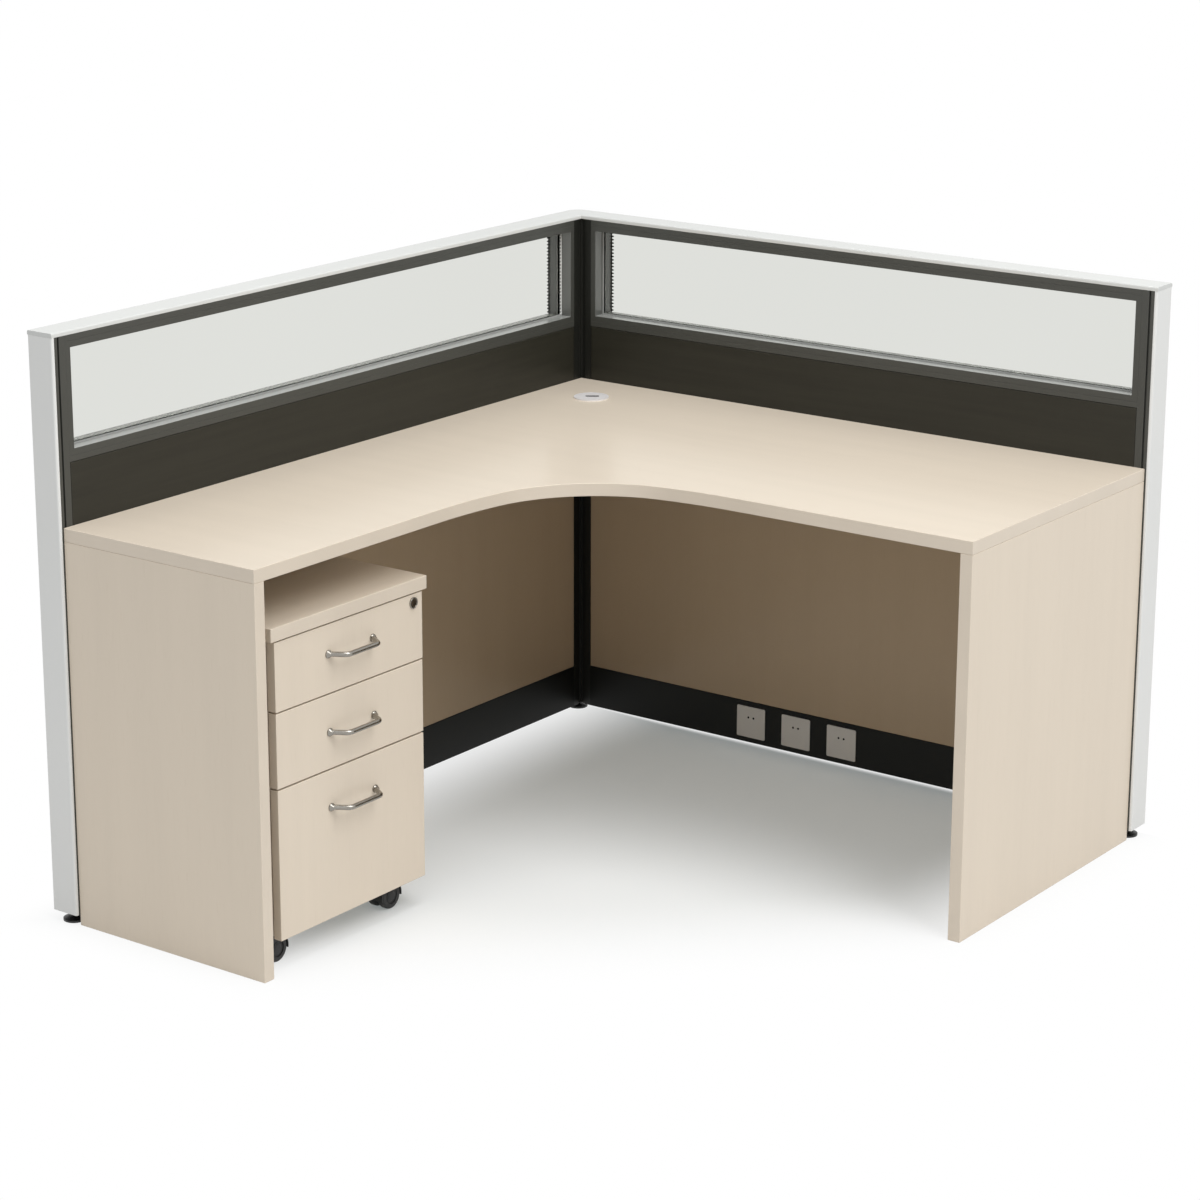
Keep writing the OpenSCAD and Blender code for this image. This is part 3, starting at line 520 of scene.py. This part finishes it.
def thin_axis(node):
    """The axis across which a board is thinnest."""
    low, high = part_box(node)
    spans = [high[k] - low[k] for k in range(3)]
    return spans.index(min(spans))


def board(node, grain):
    """Softened copy of a board, printed on its two faces and edged all round."""
    piece = copy_node(node, f"{node}_board")
    ease_edges(piece, BOARD_EASE)
    smooth(piece)
    seat(piece, node, maple[grain])
    piece.data.materials.append(edging)
    axis = thin_axis(node)
    for face in piece.data.polygons:
        face.material_index = 0 if abs(face.normal[axis]) > PRINTED else 1
    return piece


boards = [board(node, grain) for node, grain in BOARD_GRAIN.items()]
print("boards:", len(boards))

# %% [markdown]
# ## Tiles, frame and caps
#
# Tiles drop into the screens with their edges eased, and the frame's extrusions have tiny radii.
# Long thin pieces read as real only when these edges shine, so all of them get the same treatment,
# each with its own width of bevel. The linings of the windows are glossier than the frame round
# them and paler, with painted light on their sides and a painted reflection on the sill. The corner
# post and the profiles that meet in the corner take a darkened coat: painted shade of the corner.

# %% Screen pieces
TILE_EASE = 0.0012
FRAME_EASE = 0.0005
LINING_SHARE = 0.5
DESK_LOW, DESK_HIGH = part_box("worktop")
CORNER_REACH = 0.036


def paint_light_on_reveal(frame_piece, depth_axis):
    """Gives the faces round the window's opening a glossier coat with painted light, the sill a paler
    one with a painted reflection.
    """
    frame_piece.data.materials.append(reveal_painted_light)
    frame_piece.data.materials.append(sill_painted_reflection)
    points = frame_piece.data.vertices
    middle = sum((point.co for point in points), Vector()) / len(points)
    for face in frame_piece.data.polygons:
        inward = (middle - face.center).dot(face.normal) > 0
        if inward and abs(face.normal[depth_axis]) < LINING_SHARE:
            face.material_index = 2 if face.normal.z > LINING_SHARE else 1


def paint_corner_shade(frame_piece):
    """Gives painted corner shade, the post's darkened charcoal coat, to the profiles meeting in the
    corner.
    """
    frame_piece.data.materials.append(corner_shade_coat)
    black = len(frame_piece.data.materials) - 1
    reach_x, reach_y = DESK_LOW.x + CORNER_REACH, DESK_HIGH.y - CORNER_REACH
    for face in frame_piece.data.polygons:
        spots = [frame_piece.data.vertices[k].co for k in face.vertices]
        if all(spot.x < reach_x and spot.y > reach_y for spot in spots):
            face.material_index = black


SCREEN_FINISH = [
    (("back_lower_tile", "side_lower_tile", "outer_lower_tiles"), shaded_maple_tile, TILE_EASE),
    (("back_upper_tile", "side_upper_tile", "outer_upper_tiles"), charcoal_tile, TILE_EASE),
    (("screen_stiles", "screen_rails", "end_posts"), charcoal_coat, FRAME_EASE),
    (("corner_post",), corner_shade_coat, FRAME_EASE),
    (("back_window_frame", "side_window_frame"), charcoal_coat, FRAME_EASE),
    (("back_skirting", "side_skirting", "outer_skirting"), black_coat, FRAME_EASE),
    (("back_top_cap", "side_top_cap", "corner_cap"), top_cap_painted_shade, FRAME_EASE),
    (("end_caps",), pale_anodised, FRAME_EASE),
]

for members, finish, ease in SCREEN_FINISH:
    for node in members:
        piece = copy_node(node, f"{node}_finished")
        ease_edges(piece, ease)
        smooth(piece)
        seat(piece, node, finish)
        if node.endswith("window_frame"):
            paint_light_on_reveal(piece, 1 if node.startswith("back") else 0)
        if node == "screen_stiles":
            paint_corner_shade(piece)
print("screen pieces:", sum(len(members) for members, _, _ in SCREEN_FINISH))

# %% [markdown]
# ## Small moulded and metal pieces
#
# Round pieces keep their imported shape; they only need their loose triangles merged, so that the
# curved faces shade as one. The two panes stay as packed and get the glass in their own slot.

# %% Fittings
CASTERS, DRAWERS = range(1, 5), range(1, 4)
FITTING_FINISH = [
    (("socket_plates",), socket_moulded),
    (("foot_corner", "foot_back", "foot_side"), black_moulded),
    (("grommet_ring", "grommet_cap"), white_moulded),
    (tuple(f"caster_{k}_housing" for k in CASTERS), black_moulded),
    (tuple(f"caster_{k}_wheels" for k in CASTERS), tyre_rubber),
    (tuple(f"drawer_{k}_handle" for k in DRAWERS), nickel),
    (("lock_barrel",), nickel),
    (tuple(f"drawer_{k}_runners" for k in DRAWERS), zinc_plate),
    (("cabinet_runners", "worktop_brackets"), zinc_plate),
    (tuple(f"drawer_{k}_box" for k in DRAWERS), drawer_coat),
]

for members, finish in FITTING_FINISH:
    for node in members:
        piece = copy_node(node, f"{node}_finished")
        smooth(piece)
        seat(piece, node, finish)

for node in ("back_glass", "side_glass"):
    nodes[node].data.materials.clear()
    nodes[node].data.materials.append(glass)
print("fittings:", sum(len(members) for members, _ in FITTING_FINISH), "and two panes")

# %% [markdown]
# ## Gaskets round the panes
#
# A rubber gasket closes the joint between each pane and the linings of its window, on both
# faces; its pale grey is painted reflection, matching the sill's. It is a thin slab whose two faces
# are inset and bridged into a ring, as the real one is a strip welded at its four corners. Its edges
# are eased because rubber never has a sharp arris. The window's clear opening is a little smaller
# than the pane, whose rim sits in the frame.

# %% Gaskets
WINDOW_SILL, WINDOW_HEAD = 0.888, 1.069
WINDOW_SPAN = {"side_glass": (-0.7555, 0.703), "back_glass": (-0.603, 0.6555)}
GASKET_WIDE, GASKET_PROUD = 0.0028, 0.0018
GASKET_EASE = 0.0004


def gasket(name, node, depth_axis, side):
    """Ring against one face of a pane; side is -1 or 1 along the depth axis."""
    low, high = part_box(node)
    pane_face = (low if side < 0 else high)[depth_axis]
    start, end = WINDOW_SPAN[node]
    long_axis = 1 - depth_axis
    centre, size = [0, 0, (WINDOW_SILL + WINDOW_HEAD) / 2], [0, 0, WINDOW_HEAD - WINDOW_SILL]
    centre[long_axis], size[long_axis] = (start + end) / 2, end - start
    centre[depth_axis], size[depth_axis] = pane_face + side * GASKET_PROUD / 2, GASKET_PROUD
    clear_selection()
    bpy.ops.mesh.primitive_cube_add(size=1, location=centre)
    ring = bpy.context.object
    ring.name = name
    ring.scale = size
    close_mesh(ring)
    open_mesh(ring)
    select_faces(ring, lambda c, n: abs(n[depth_axis]) > FACING)
    bpy.ops.mesh.inset(thickness=GASKET_WIDE)
    bpy.ops.mesh.bridge_edge_loops()
    bpy.ops.object.mode_set(mode="OBJECT")
    ease_edges(ring, GASKET_EASE, 2)
    smooth(ring)
    ring.data.materials.append(gasket_painted_reflection)
    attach(ring, "workstation")
    return ring


gaskets = [gasket(f"{node[:4]}_gasket_{label}", node, axis, side)
           for node, axis in (("side_glass", 0), ("back_glass", 1))
           for side, label in ((-1, "low"), (1, "high"))]
print("gasket faces:", [len(ring.data.polygons) for ring in gaskets])

# %% [markdown]
# ## Seal combs in the windows
#
# Beside the corner post, each pane is held by a toothed rubber comb that is pressed between the pane
# and the stile. Only its teeth show, as a fine saw edge against the light. One tooth is modelled,
# and an Array modifier repeats it at an even pitch, because a comb is extruded and notched by
# machine. A thin upright spine then joins the teeth at their roots.

# %% A comb
COMB_GAP = 0.0005
COMB_FOOT, COMB_TOP = WINDOW_SILL + COMB_GAP, WINDOW_HEAD - COMB_GAP
TOOTH_PITCH = 0.0072
TOOTH_TALL, TOOTH_TAPER = 0.0040, 0.55
COMB_WIDE, SPINE_WIDE = 0.0026, 0.0014
TOOTH_EASE, SPINE_EASE = 0.0002, 0.0003


def comb(name, root, outward, reach, material, slot):
    """Upright comb with even teeth; root is its foot's place, outward the way its teeth point."""
    ahead = Vector((*outward, 0))
    first = Vector((*root, COMB_FOOT + TOOTH_PITCH / 2))
    clear_selection()
    bpy.ops.mesh.primitive_cube_add(size=1, location=first + ahead * reach / 2)
    tooth = bpy.context.object
    tooth.name = name
    tooth.scale = [reach if along_axis else COMB_WIDE for along_axis in outward] + [TOOTH_TALL]
    close_mesh(tooth)
    open_mesh(tooth)
    select_faces(tooth, lambda c, n: n.dot(ahead) > FACING)
    bpy.ops.transform.resize(value=(1, 1, TOOTH_TAPER))
    bpy.ops.object.mode_set(mode="OBJECT")
    ease_edges(tooth, TOOTH_EASE, 1)
    row = tooth.modifiers.new("row", "ARRAY")
    row.count = round((COMB_TOP - COMB_FOOT) / TOOTH_PITCH)
    row.use_relative_offset = False
    row.use_constant_offset = True
    row.constant_offset_displace = (0, 0, TOOTH_PITCH)
    pick(tooth)
    bpy.ops.object.modifier_apply(modifier=row.name)
    clear_selection()
    bpy.ops.mesh.primitive_cube_add(size=1, location=(*root, (COMB_FOOT + COMB_TOP) / 2))
    spine = bpy.context.object
    spine.scale = (SPINE_WIDE, SPINE_WIDE, COMB_TOP - COMB_FOOT)
    close_mesh(spine)
    ease_edges(spine, SPINE_EASE, 1)
    clear_selection()
    spine.select_set(True)
    tooth.select_set(True)
    bpy.context.view_layer.objects.active = tooth
    bpy.ops.object.join()
    smooth(tooth)
    tooth.data.materials.clear()
    tooth.data.materials.append(material)
    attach(tooth, "workstation")
    return tooth


# %% [markdown]
# ## Where the combs stand
#
# Two combs show in the side screen, a pale one at the pane, whose paleness is painted light for the
# light that comes through the pane's edge, and a dark one at the outer face, and one in the back
# screen. Each row gives a comb's name, the place of its foot on the plan, the way its teeth point,
# how far they reach, its rubber and its slot.

# %% Combs of both windows
COMBS = [("side_outer_comb", (-0.6980, 0.7025), (0, -1), 0.0045, seal_rubber, "black_plastic"),
         ("side_pane_comb", (-0.6645, 0.7025), (0, -1), 0.0040, seal_painted_light, "white_plastic"),
         ("back_outer_comb", (-0.6025, 0.7980), (1, 0), 0.0045, seal_rubber, "black_plastic")]
combs = [comb(*row) for row in COMBS]
print("comb faces:", {c.name: len(c.data.polygons) for c in combs})

# %% [markdown]
# ## Screws in the brackets
#
# Each steel bracket under the worktop takes four pan-head screws: two up into the board and two into
# the screen or the gable. One head is modelled: a short cylinder with a rounded rim, whose top is
# inset, pinched into a cross and pushed down. The notches between the cross's arms lie on the
# diagonals, where the sine of twice the angle is large.

# %% One screw head
HEAD_R, HEAD_TALL, HEAD_ROUND = 0.0042, 0.0022, 0.0009
CROSS_R, CROSS_DEEP, CROSS_DRAFT = 0.0022, 0.0011, 0.0001
CROSS_WAIST, NOTCH_SHARE = 0.4, 0.6
LEVEL = 0.99
A_HAIR = 1e-5


def in_a_notch(point, top):
    """Whether a point lies on the inner rim of the head's top, between two arms of the cross."""
    on_rim = top - point.z < A_HAIR and point.xy.length < CROSS_R * 1.05
    return on_rim and abs(math.sin(2 * math.atan2(point.y, point.x))) > NOTCH_SHARE


def screw_head():
    """Pan head with a cross recess, standing on z = 0 at the origin."""
    clear_selection()
    bpy.ops.mesh.primitive_cylinder_add(vertices=24, radius=HEAD_R, depth=HEAD_TALL,
                                        location=(0, 0, HEAD_TALL / 2))
    head = bpy.context.object
    close_mesh(head)
    open_mesh(head)
    select_faces(head, lambda c, n: n.z > FACING)
    bpy.ops.mesh.bevel(offset=HEAD_ROUND, segments=3)
    select_faces(head, lambda c, n: n.z > LEVEL)
    bpy.ops.mesh.inset(thickness=HEAD_R - HEAD_ROUND - CROSS_R, depth=0)
    top = max(v.co.z for v in head.data.vertices)
    select_points(head, lambda p: in_a_notch(p, top))
    bpy.ops.transform.resize(value=(CROSS_WAIST, CROSS_WAIST, 1))
    bpy.ops.mesh.select_mode(type="FACE")
    select_faces(head, lambda c, n: n.z > LEVEL and c.xy.length < 10 * A_HAIR)
    bpy.ops.mesh.inset(thickness=CROSS_DRAFT, depth=-CROSS_DEEP)
    bpy.ops.object.mode_set(mode="OBJECT")
    return head


# %% [markdown]
# ## Screws on every bracket
#
# The brackets stand along the screens and the gables at fixed shares of their lengths, so their
# places follow from the boxes of the worktop and the gables. The heads are copies of the one above,
# turned to face their leg, and all are joined into one piece.

# %% Screws on every bracket
BRACKET_T, BRACKET_HALF, BRACKET_QUARTER = 0.003, 0.019, 0.0125
WALL_SHARES, GABLE_SHARES = (0.3, 0.72), (0.25, 0.8)


def between(start, end, share):
    """The value at a share of the way from start to end."""
    return start + share * (end - start)


def bracket_places():
    """Corner and turn of each bracket: two along each screen, two along each gable."""
    left_low, left_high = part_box("left_gable")
    right_low, right_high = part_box("right_gable")
    places = [(DESK_LOW.x, between(DESK_HIGH.y, DESK_LOW.y, share), 0) for share in WALL_SHARES]
    places += [(between(DESK_LOW.x, DESK_HIGH.x, share), DESK_HIGH.y, -90) for share in WALL_SHARES]
    places += [(between(left_low.x, left_high.x, share), left_high.y, 90) for share in GABLE_SHARES]
    places += [(right_low.x, between(right_high.y, right_low.y, share), 180) for share in GABLE_SHARES]
    return places


def place_copy(model, name, place):
    """Copies a model with its own mesh and puts its place into the mesh."""
    piece = bpy.data.objects.new(name, model.data.copy())
    bpy.context.scene.collection.objects.link(piece)
    piece.data.transform(place)
    return piece


def join_pieces(pieces, name):
    """Joins pieces into the first one and names it."""
    clear_selection()
    for piece in pieces:
        piece.select_set(True)
    bpy.context.view_layer.objects.active = pieces[0]
    bpy.ops.object.join()
    pieces[0].name = name
    return pieces[0]


def leg_places():
    """Places of a bracket's four screws, seen from its corner: up into the board, then sideways."""
    upward, sideways = Matrix.Rotation(math.pi, 4, "X"), Matrix.Rotation(math.pi / 2, 4, "Y")
    places = []
    for side in (-BRACKET_QUARTER, BRACKET_QUARTER):
        places.append(Matrix.Translation((BRACKET_HALF, side, -BRACKET_T)) @ upward)
        places.append(Matrix.Translation((BRACKET_T, side, -BRACKET_HALF)) @ sideways)
    return places


model_head = screw_head()
heads = []
for x, y, turn in bracket_places():
    corner = Matrix.Translation((x, y, DESK_LOW.z)) @ Matrix.Rotation(math.radians(turn), 4, "Z")
    heads += [place_copy(model_head, "head", corner @ place) for place in leg_places()]
screw_count = len(heads)
bpy.data.objects.remove(model_head)
bracket_screws = join_pieces(heads, "bracket_screws")
smooth(bracket_screws)
bracket_screws.data.materials.append(zinc_plate)
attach(bracket_screws, "workstation")
print("screw heads:", screw_count, "faces:", len(bracket_screws.data.polygons))

# %% [markdown]
# ## Painted shade in the socket holes
#
# The pin holes of a socket are darkened with painted shade: a small black cup lines each hole, a
# cylinder whose front face is inset and pushed back. The imported record states where each pin goes
# in, so the cups take their places from there.

# %% Socket hole shade
CUP_R, CUP_TALL = 0.00236, 0.0074
CUP_WALL, CUP_DEEP, CUP_DRAFT = 0.0004, 0.006, 0.00005


def hole_shade_cup():
    """Black cup of painted shade for a pin hole, open towards -Y, with its rim at the origin."""
    clear_selection()
    bpy.ops.mesh.primitive_cylinder_add(vertices=28, radius=CUP_R, depth=CUP_TALL,
                                        location=(0, CUP_TALL / 2, 0), rotation=(math.pi / 2, 0, 0))
    cup = bpy.context.object
    close_mesh(cup)
    open_mesh(cup)
    select_faces(cup, lambda c, n: n.y < -FACING)
    bpy.ops.mesh.inset(thickness=CUP_WALL, depth=0)
    bpy.ops.mesh.inset(thickness=CUP_DRAFT, depth=-CUP_DEEP)
    bpy.ops.object.mode_set(mode="OBJECT")
    return cup


model_cup = hole_shade_cup()
cups = [place_copy(model_cup, "cup", Matrix.Translation(mount["pos_m"]))
        for mount in frame["record"]["mounts"] if mount["name"].startswith("socket")]
bpy.data.objects.remove(model_cup)
hole_shades = join_pieces(cups, "socket_hole_shades")
smooth(hole_shades)
hole_shades.data.materials.append(black_moulded)
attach(hole_shades, "workstation")
print("socket contacts:", len(hole_shades.data.polygons), "faces")

# %% [markdown]
# ## Rubber lip of the cable slot
#
# The grommet's lid has an oblong slot with a black rubber lip, so that a plug's edge doesn't scrape
# the lid. It is a cylinder stretched into an oblong, its top inset and let down to leave the rim.

# %% Lip of the cable slot
LID_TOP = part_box("grommet_cap")[1].z
SLOT_OFFSET = Vector((0.0016, 0.0012, 0))
SLOT_PLACE = Vector((*(joint_place["grommet_turn"] + SLOT_OFFSET).xy, LID_TOP))
SLOT_TURN = math.radians(36)
LIP_R, LIP_STRAIGHT, LIP_PROUD = 0.0050, 0.018, 0.0010
LIP_WIDE, LIP_SUNK, LIP_EASE = 0.0014, 0.0016, 0.0002


def slot_lip():
    """Oblong rim on the lid, turned with the slot."""
    clear_selection()
    bpy.ops.mesh.primitive_cylinder_add(vertices=40, radius=LIP_R, depth=2 * LIP_PROUD,
                                        location=SLOT_PLACE)
    lip = bpy.context.object
    lip.name = "grommet_slot_lip"
    close_mesh(lip)
    for way in (-1, 1):
        open_mesh(lip, "VERT")
        select_points(lip, lambda p: way * (p.x - SLOT_PLACE.x) > A_HAIR)
        bpy.ops.transform.translate(value=(way * LIP_STRAIGHT / 2, 0, 0))
        bpy.ops.object.mode_set(mode="OBJECT")
    open_mesh(lip)
    select_faces(lip, lambda c, n: n.z > FACING)
    bpy.ops.mesh.inset(thickness=LIP_WIDE)
    bpy.ops.transform.translate(value=(0, 0, -LIP_SUNK))
    bpy.ops.mesh.select_all(action="SELECT")
    bpy.ops.transform.rotate(value=-SLOT_TURN, orient_axis="Z", center_override=SLOT_PLACE)
    bpy.ops.object.mode_set(mode="OBJECT")
    ease_edges(lip, LIP_EASE, 2)
    smooth(lip)
    lip.data.materials.append(seal_rubber)
    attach(lip, body_of_node["grommet_cap"])
    return lip


lip = slot_lip()
lip_stands = max(point.co.z for point in lip.data.vertices) - LID_TOP
print("slot lip stands", round(1000 * lip_stands, 2), "mm proud")

# %% [markdown]
# ## Bezel of the lock
#
# A cam lock has a raised rim round its face, which keeps the key from scratching the drawer. It is a
# torus, squashed a little towards the face, and it turns with the lock's barrel.

# %% Lock bezel
LOCK_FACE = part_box("lock_barrel")[1].x
LOCK_PLACE = Vector((LOCK_FACE, *joint_place["lock_turn"].yz))
BEZEL_R, BEZEL_TUBE, BEZEL_SQUASH = 0.0094, 0.0011, 0.7
BEZEL_TURN = math.radians(60)


def lock_bezel():
    """Raised rim round the lock's face."""
    clear_selection()
    bpy.ops.mesh.primitive_torus_add(location=LOCK_PLACE, rotation=(0, math.pi / 2, 0),
                                     major_radius=BEZEL_R, minor_radius=BEZEL_TUBE,
                                     major_segments=48, minor_segments=14)
    bezel = bpy.context.object
    bezel.name = "lock_bezel"
    close_mesh(bezel)
    open_mesh(bezel)
    bpy.ops.mesh.select_all(action="SELECT")
    bpy.ops.transform.resize(value=(BEZEL_SQUASH, 1, 1), center_override=LOCK_PLACE)
    bpy.ops.object.mode_set(mode="OBJECT")
    smooth(bezel, BEZEL_TURN)
    bezel.data.materials.append(nickel)
    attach(bezel, "lock")
    return bezel


bezel = lock_bezel()
print("lock bezel:", len(bezel.data.polygons), "faces")

# %% [markdown]
# ## Hub caps of the casters
#
# Each caster wheel hides its axle end behind a domed cap: a disc whose face is inset three times,
# first down into a groove and then up again, and eased. The caps sit on the axle that the packed
# record gives for each pair of wheels, and they roll with the wheels.

# %% Hub caps
HUB_R, HUB_THICK = 0.0118, 0.0012
HUB_OUT = 0.0182
HUB_STEPS = [(0.0022, -0.0004), (0.0008, 0.0007), (0.0040, 0.0003)]
HUB_EASE = 0.00015


def hub_cap():
    """Domed cap lying on z = 0 at the origin."""
    clear_selection()
    bpy.ops.mesh.primitive_cylinder_add(vertices=40, radius=HUB_R, depth=HUB_THICK,
                                        location=(0, 0, HUB_THICK / 2))
    cap = bpy.context.object
    close_mesh(cap)
    open_mesh(cap)
    select_faces(cap, lambda c, n: n.z > FACING)
    for inward, upward in HUB_STEPS:
        bpy.ops.mesh.inset(thickness=inward, depth=upward)
    bpy.ops.object.mode_set(mode="OBJECT")
    ease_edges(cap, HUB_EASE, 2)
    return cap


model_cap = hub_cap()
for k in CASTERS:
    pair = []
    for side in (-1, 1):
        outer = Matrix.Translation(joint_place[f"caster_{k}_roll"] + side * Vector((HUB_OUT, 0, 0)))
        turned = Matrix.Rotation(side * math.pi / 2, 4, "Y")
        pair.append(place_copy(model_cap, "hub", outer @ turned))
    hubs = join_pieces(pair, f"caster_{k}_hubs")
    smooth(hubs)
    hubs.data.materials.append(black_moulded)
    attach(hubs, f"wheels_{k}")
bpy.data.objects.remove(model_cap)
print("hub caps:", len(CASTERS), "pairs")

# %% [markdown]
# ## The white surround
#
# What the camera sees behind the desk should be white paper, but white paper would flood the desk
# with light, so Light Path tells the two apart: rays from the camera, from mirrors and through glass
# see white, and all others meet a dimmer studio.

# %% White surround
STUDIO_LEVEL = 0.55
STUDIO_TINT = (0.97, 0.985, 1)
WHITE = (1, 1, 1)


def reckon(tree, operation, first, second=0.0):
    """One step of arithmetic in a shader; each value is a number or a socket."""
    step = tree.nodes.new("ShaderNodeMath")
    step.operation = operation
    for socket, value in zip(step.inputs, (first, second)):
        if isinstance(value, (int, float)):
            socket.default_value = value
        else:
            tree.links.new(value, socket)
    return step.outputs["Value"]


def plain_shader(tree, kind, colour, strength=None):
    """Adds a shader of one colour, and of one strength if it gives light; returns its output."""
    node = tree.nodes.new(kind)
    node.inputs["Color"].default_value = (*colour, 1)
    if strength is not None:
        node.inputs["Strength"].default_value = strength
    return node.outputs[0]


def mix_shaders(tree, factor, first, second):
    """Mixes two shaders; where the factor is 1, only the second shows."""
    node = tree.nodes.new("ShaderNodeMixShader")
    tree.links.new(factor, node.inputs["Fac"])
    tree.links.new(first, node.inputs[1])
    tree.links.new(second, node.inputs[2])
    return node.outputs["Shader"]


def seen_directly(tree):
    """A factor that is 1 on rays from the camera, off gloss and through glass."""
    path = tree.nodes.new("ShaderNodeLightPath").outputs
    seen = reckon(tree, "MAXIMUM", path["Is Camera Ray"], path["Is Glossy Ray"])
    return reckon(tree, "MAXIMUM", seen, path["Is Transmission Ray"])


def add_surround():
    """World that looks white and lights the desk at a lower level."""
    world = bpy.data.worlds.new("studio_world")
    bpy.context.scene.world = world
    world.use_nodes = True
    tree = world.node_tree
    tree.nodes.remove(tree.nodes["Background"])
    light = plain_shader(tree, "ShaderNodeBackground", STUDIO_TINT, STUDIO_LEVEL)
    paper = plain_shader(tree, "ShaderNodeBackground", WHITE, 1)
    look = mix_shaders(tree, seen_directly(tree), light, paper)
    tree.links.new(look, tree.nodes["World Output"].inputs["Surface"])


add_surround()
print("world:", bpy.context.scene.world.name)

# %% [markdown]
# ## The floor
#
# The floor turns white for the camera as the surround does, except under the desk, where its shadow
# stays. How far a spot lies past the desk's nearest edge, or past the open mouth of the L, decides
# how white the paper is there. Behind the screens it turns white at once. Other rays meet plain pale
# paper, so the floor still throws soft light up under the desk.

# %% Floor
FLOOR_SIZE = 60
FLOOR_PAPER = (0.80, 0.80, 0.80)
SHADE_PAPER = (0.66, 0.66, 0.66)
SHADOW_LIFT = (0.212, 0.226, 0.222)
FOOT_X, FOOT_Y = cad_box[1].xy
MOUTH = 0.60
BACK_MARGIN, BACK_STEEPNESS = 0.010, 12.0
DIAGONAL = 0.707
WHITE_FROM, WHITE_TO = -0.30, 0.10


def beyond_the_desk(tree):
    """A factor that rises from 0 under the desk to 1 on the open floor around it."""
    place = tree.nodes.new("ShaderNodeTexCoord")
    parts = tree.nodes.new("ShaderNodeSeparateXYZ")
    tree.links.new(place.outputs["Object"], parts.inputs["Vector"])
    x, y = parts.outputs["X"], parts.outputs["Y"]
    past_front = reckon(tree, "SUBTRACT", reckon(tree, "MULTIPLY", y, -1.0), FOOT_Y)
    past_side = reckon(tree, "SUBTRACT", reckon(tree, "ABSOLUTE", x), FOOT_X)
    past_back = reckon(tree, "SUBTRACT", y, FOOT_Y - BACK_MARGIN)
    past_mouth = reckon(tree, "SUBTRACT", reckon(tree, "SUBTRACT", x, y), MOUTH)
    furthest = reckon(tree, "MAXIMUM", past_side, past_front)
    for way, steepness in ((past_back, BACK_STEEPNESS), (past_mouth, DIAGONAL)):
        furthest = reckon(tree, "MAXIMUM", furthest, reckon(tree, "MULTIPLY", way, steepness))
    fade = tree.nodes.new("ShaderNodeMapRange")
    fade.interpolation_type = "SMOOTHSTEP"
    fade.inputs["From Min"].default_value = WHITE_FROM
    fade.inputs["From Max"].default_value = WHITE_TO
    tree.links.new(furthest, fade.inputs["Value"])
    return fade.outputs["Result"]


def add_floor():
    """Pale floor that keeps the shadow under the desk and turns to white paper around it."""
    clear_selection()
    bpy.ops.mesh.primitive_plane_add(size=FLOOR_SIZE, location=(0, 0, 0))
    floor = bpy.context.object
    floor.name = "studio_floor"
    material = bpy.data.materials.new("studio_paper")
    material.use_nodes = True
    tree = material.node_tree
    tree.nodes.remove(tree.nodes["Principled BSDF"])
    shadowed = tree.nodes.new("ShaderNodeAddShader")
    tree.links.new(plain_shader(tree, "ShaderNodeBsdfDiffuse", SHADE_PAPER), shadowed.inputs[0])
    tree.links.new(plain_shader(tree, "ShaderNodeEmission", SHADOW_LIFT, 1), shadowed.inputs[1])
    white = plain_shader(tree, "ShaderNodeEmission", WHITE, 1)
    seen = mix_shaders(tree, beyond_the_desk(tree), shadowed.outputs["Shader"], white)
    paper = plain_shader(tree, "ShaderNodeBsdfDiffuse", FLOOR_PAPER)
    look = mix_shaders(tree, seen_directly(tree), paper, seen)
    tree.links.new(look, tree.nodes["Material Output"].inputs["Surface"])
    floor.data.materials.append(material)


add_floor()
print("floor: the paper turns white between", WHITE_FROM, "and", WHITE_TO, "m past the desk")

# %% [markdown]
# ## Lamps
#
# One large softbox stands high on the right, so tops and right-hand faces are brightest and the
# faces towards the viewer's left fall off a little, as in the photograph. A wide, weak panel from
# the front keeps the underside of the desk readable, and a third lamp hangs over the desk and evens
# out its top. Each row names a lamp, its place, the point it is aimed at, its size and its power.

# %% Softboxes
DESK_MIDDLE = (0, 0, 0.6)
SOFTBOXES = [("key_softbox", (4.4, -0.8, 5.8), DESK_MIDDLE, 3.6, 205),
             ("front_panel", (0.6, -6.0, 2.6), DESK_MIDDLE, 4.0, 11),
             ("overhead_softbox", (0.5, -0.5, 5.0), (0.3, -0.3, 0), 2.4, 80)]


def softbox(name, place, target, size, power):
    """Square area lamp at a place, aimed at a target."""
    clear_selection()
    bpy.ops.object.light_add(type="AREA", location=place)
    lamp = bpy.context.object
    lamp.name = name
    lamp.data.size = size
    lamp.data.energy = power
    lamp.rotation_euler = (Vector(target) - Vector(place)).to_track_quat("-Z", "Y").to_euler()
    return lamp


lamps = [softbox(*row) for row in SOFTBOXES]
bpy.context.scene.view_settings.view_transform = "Standard"
print("lamps:", [lamp.name for lamp in lamps])
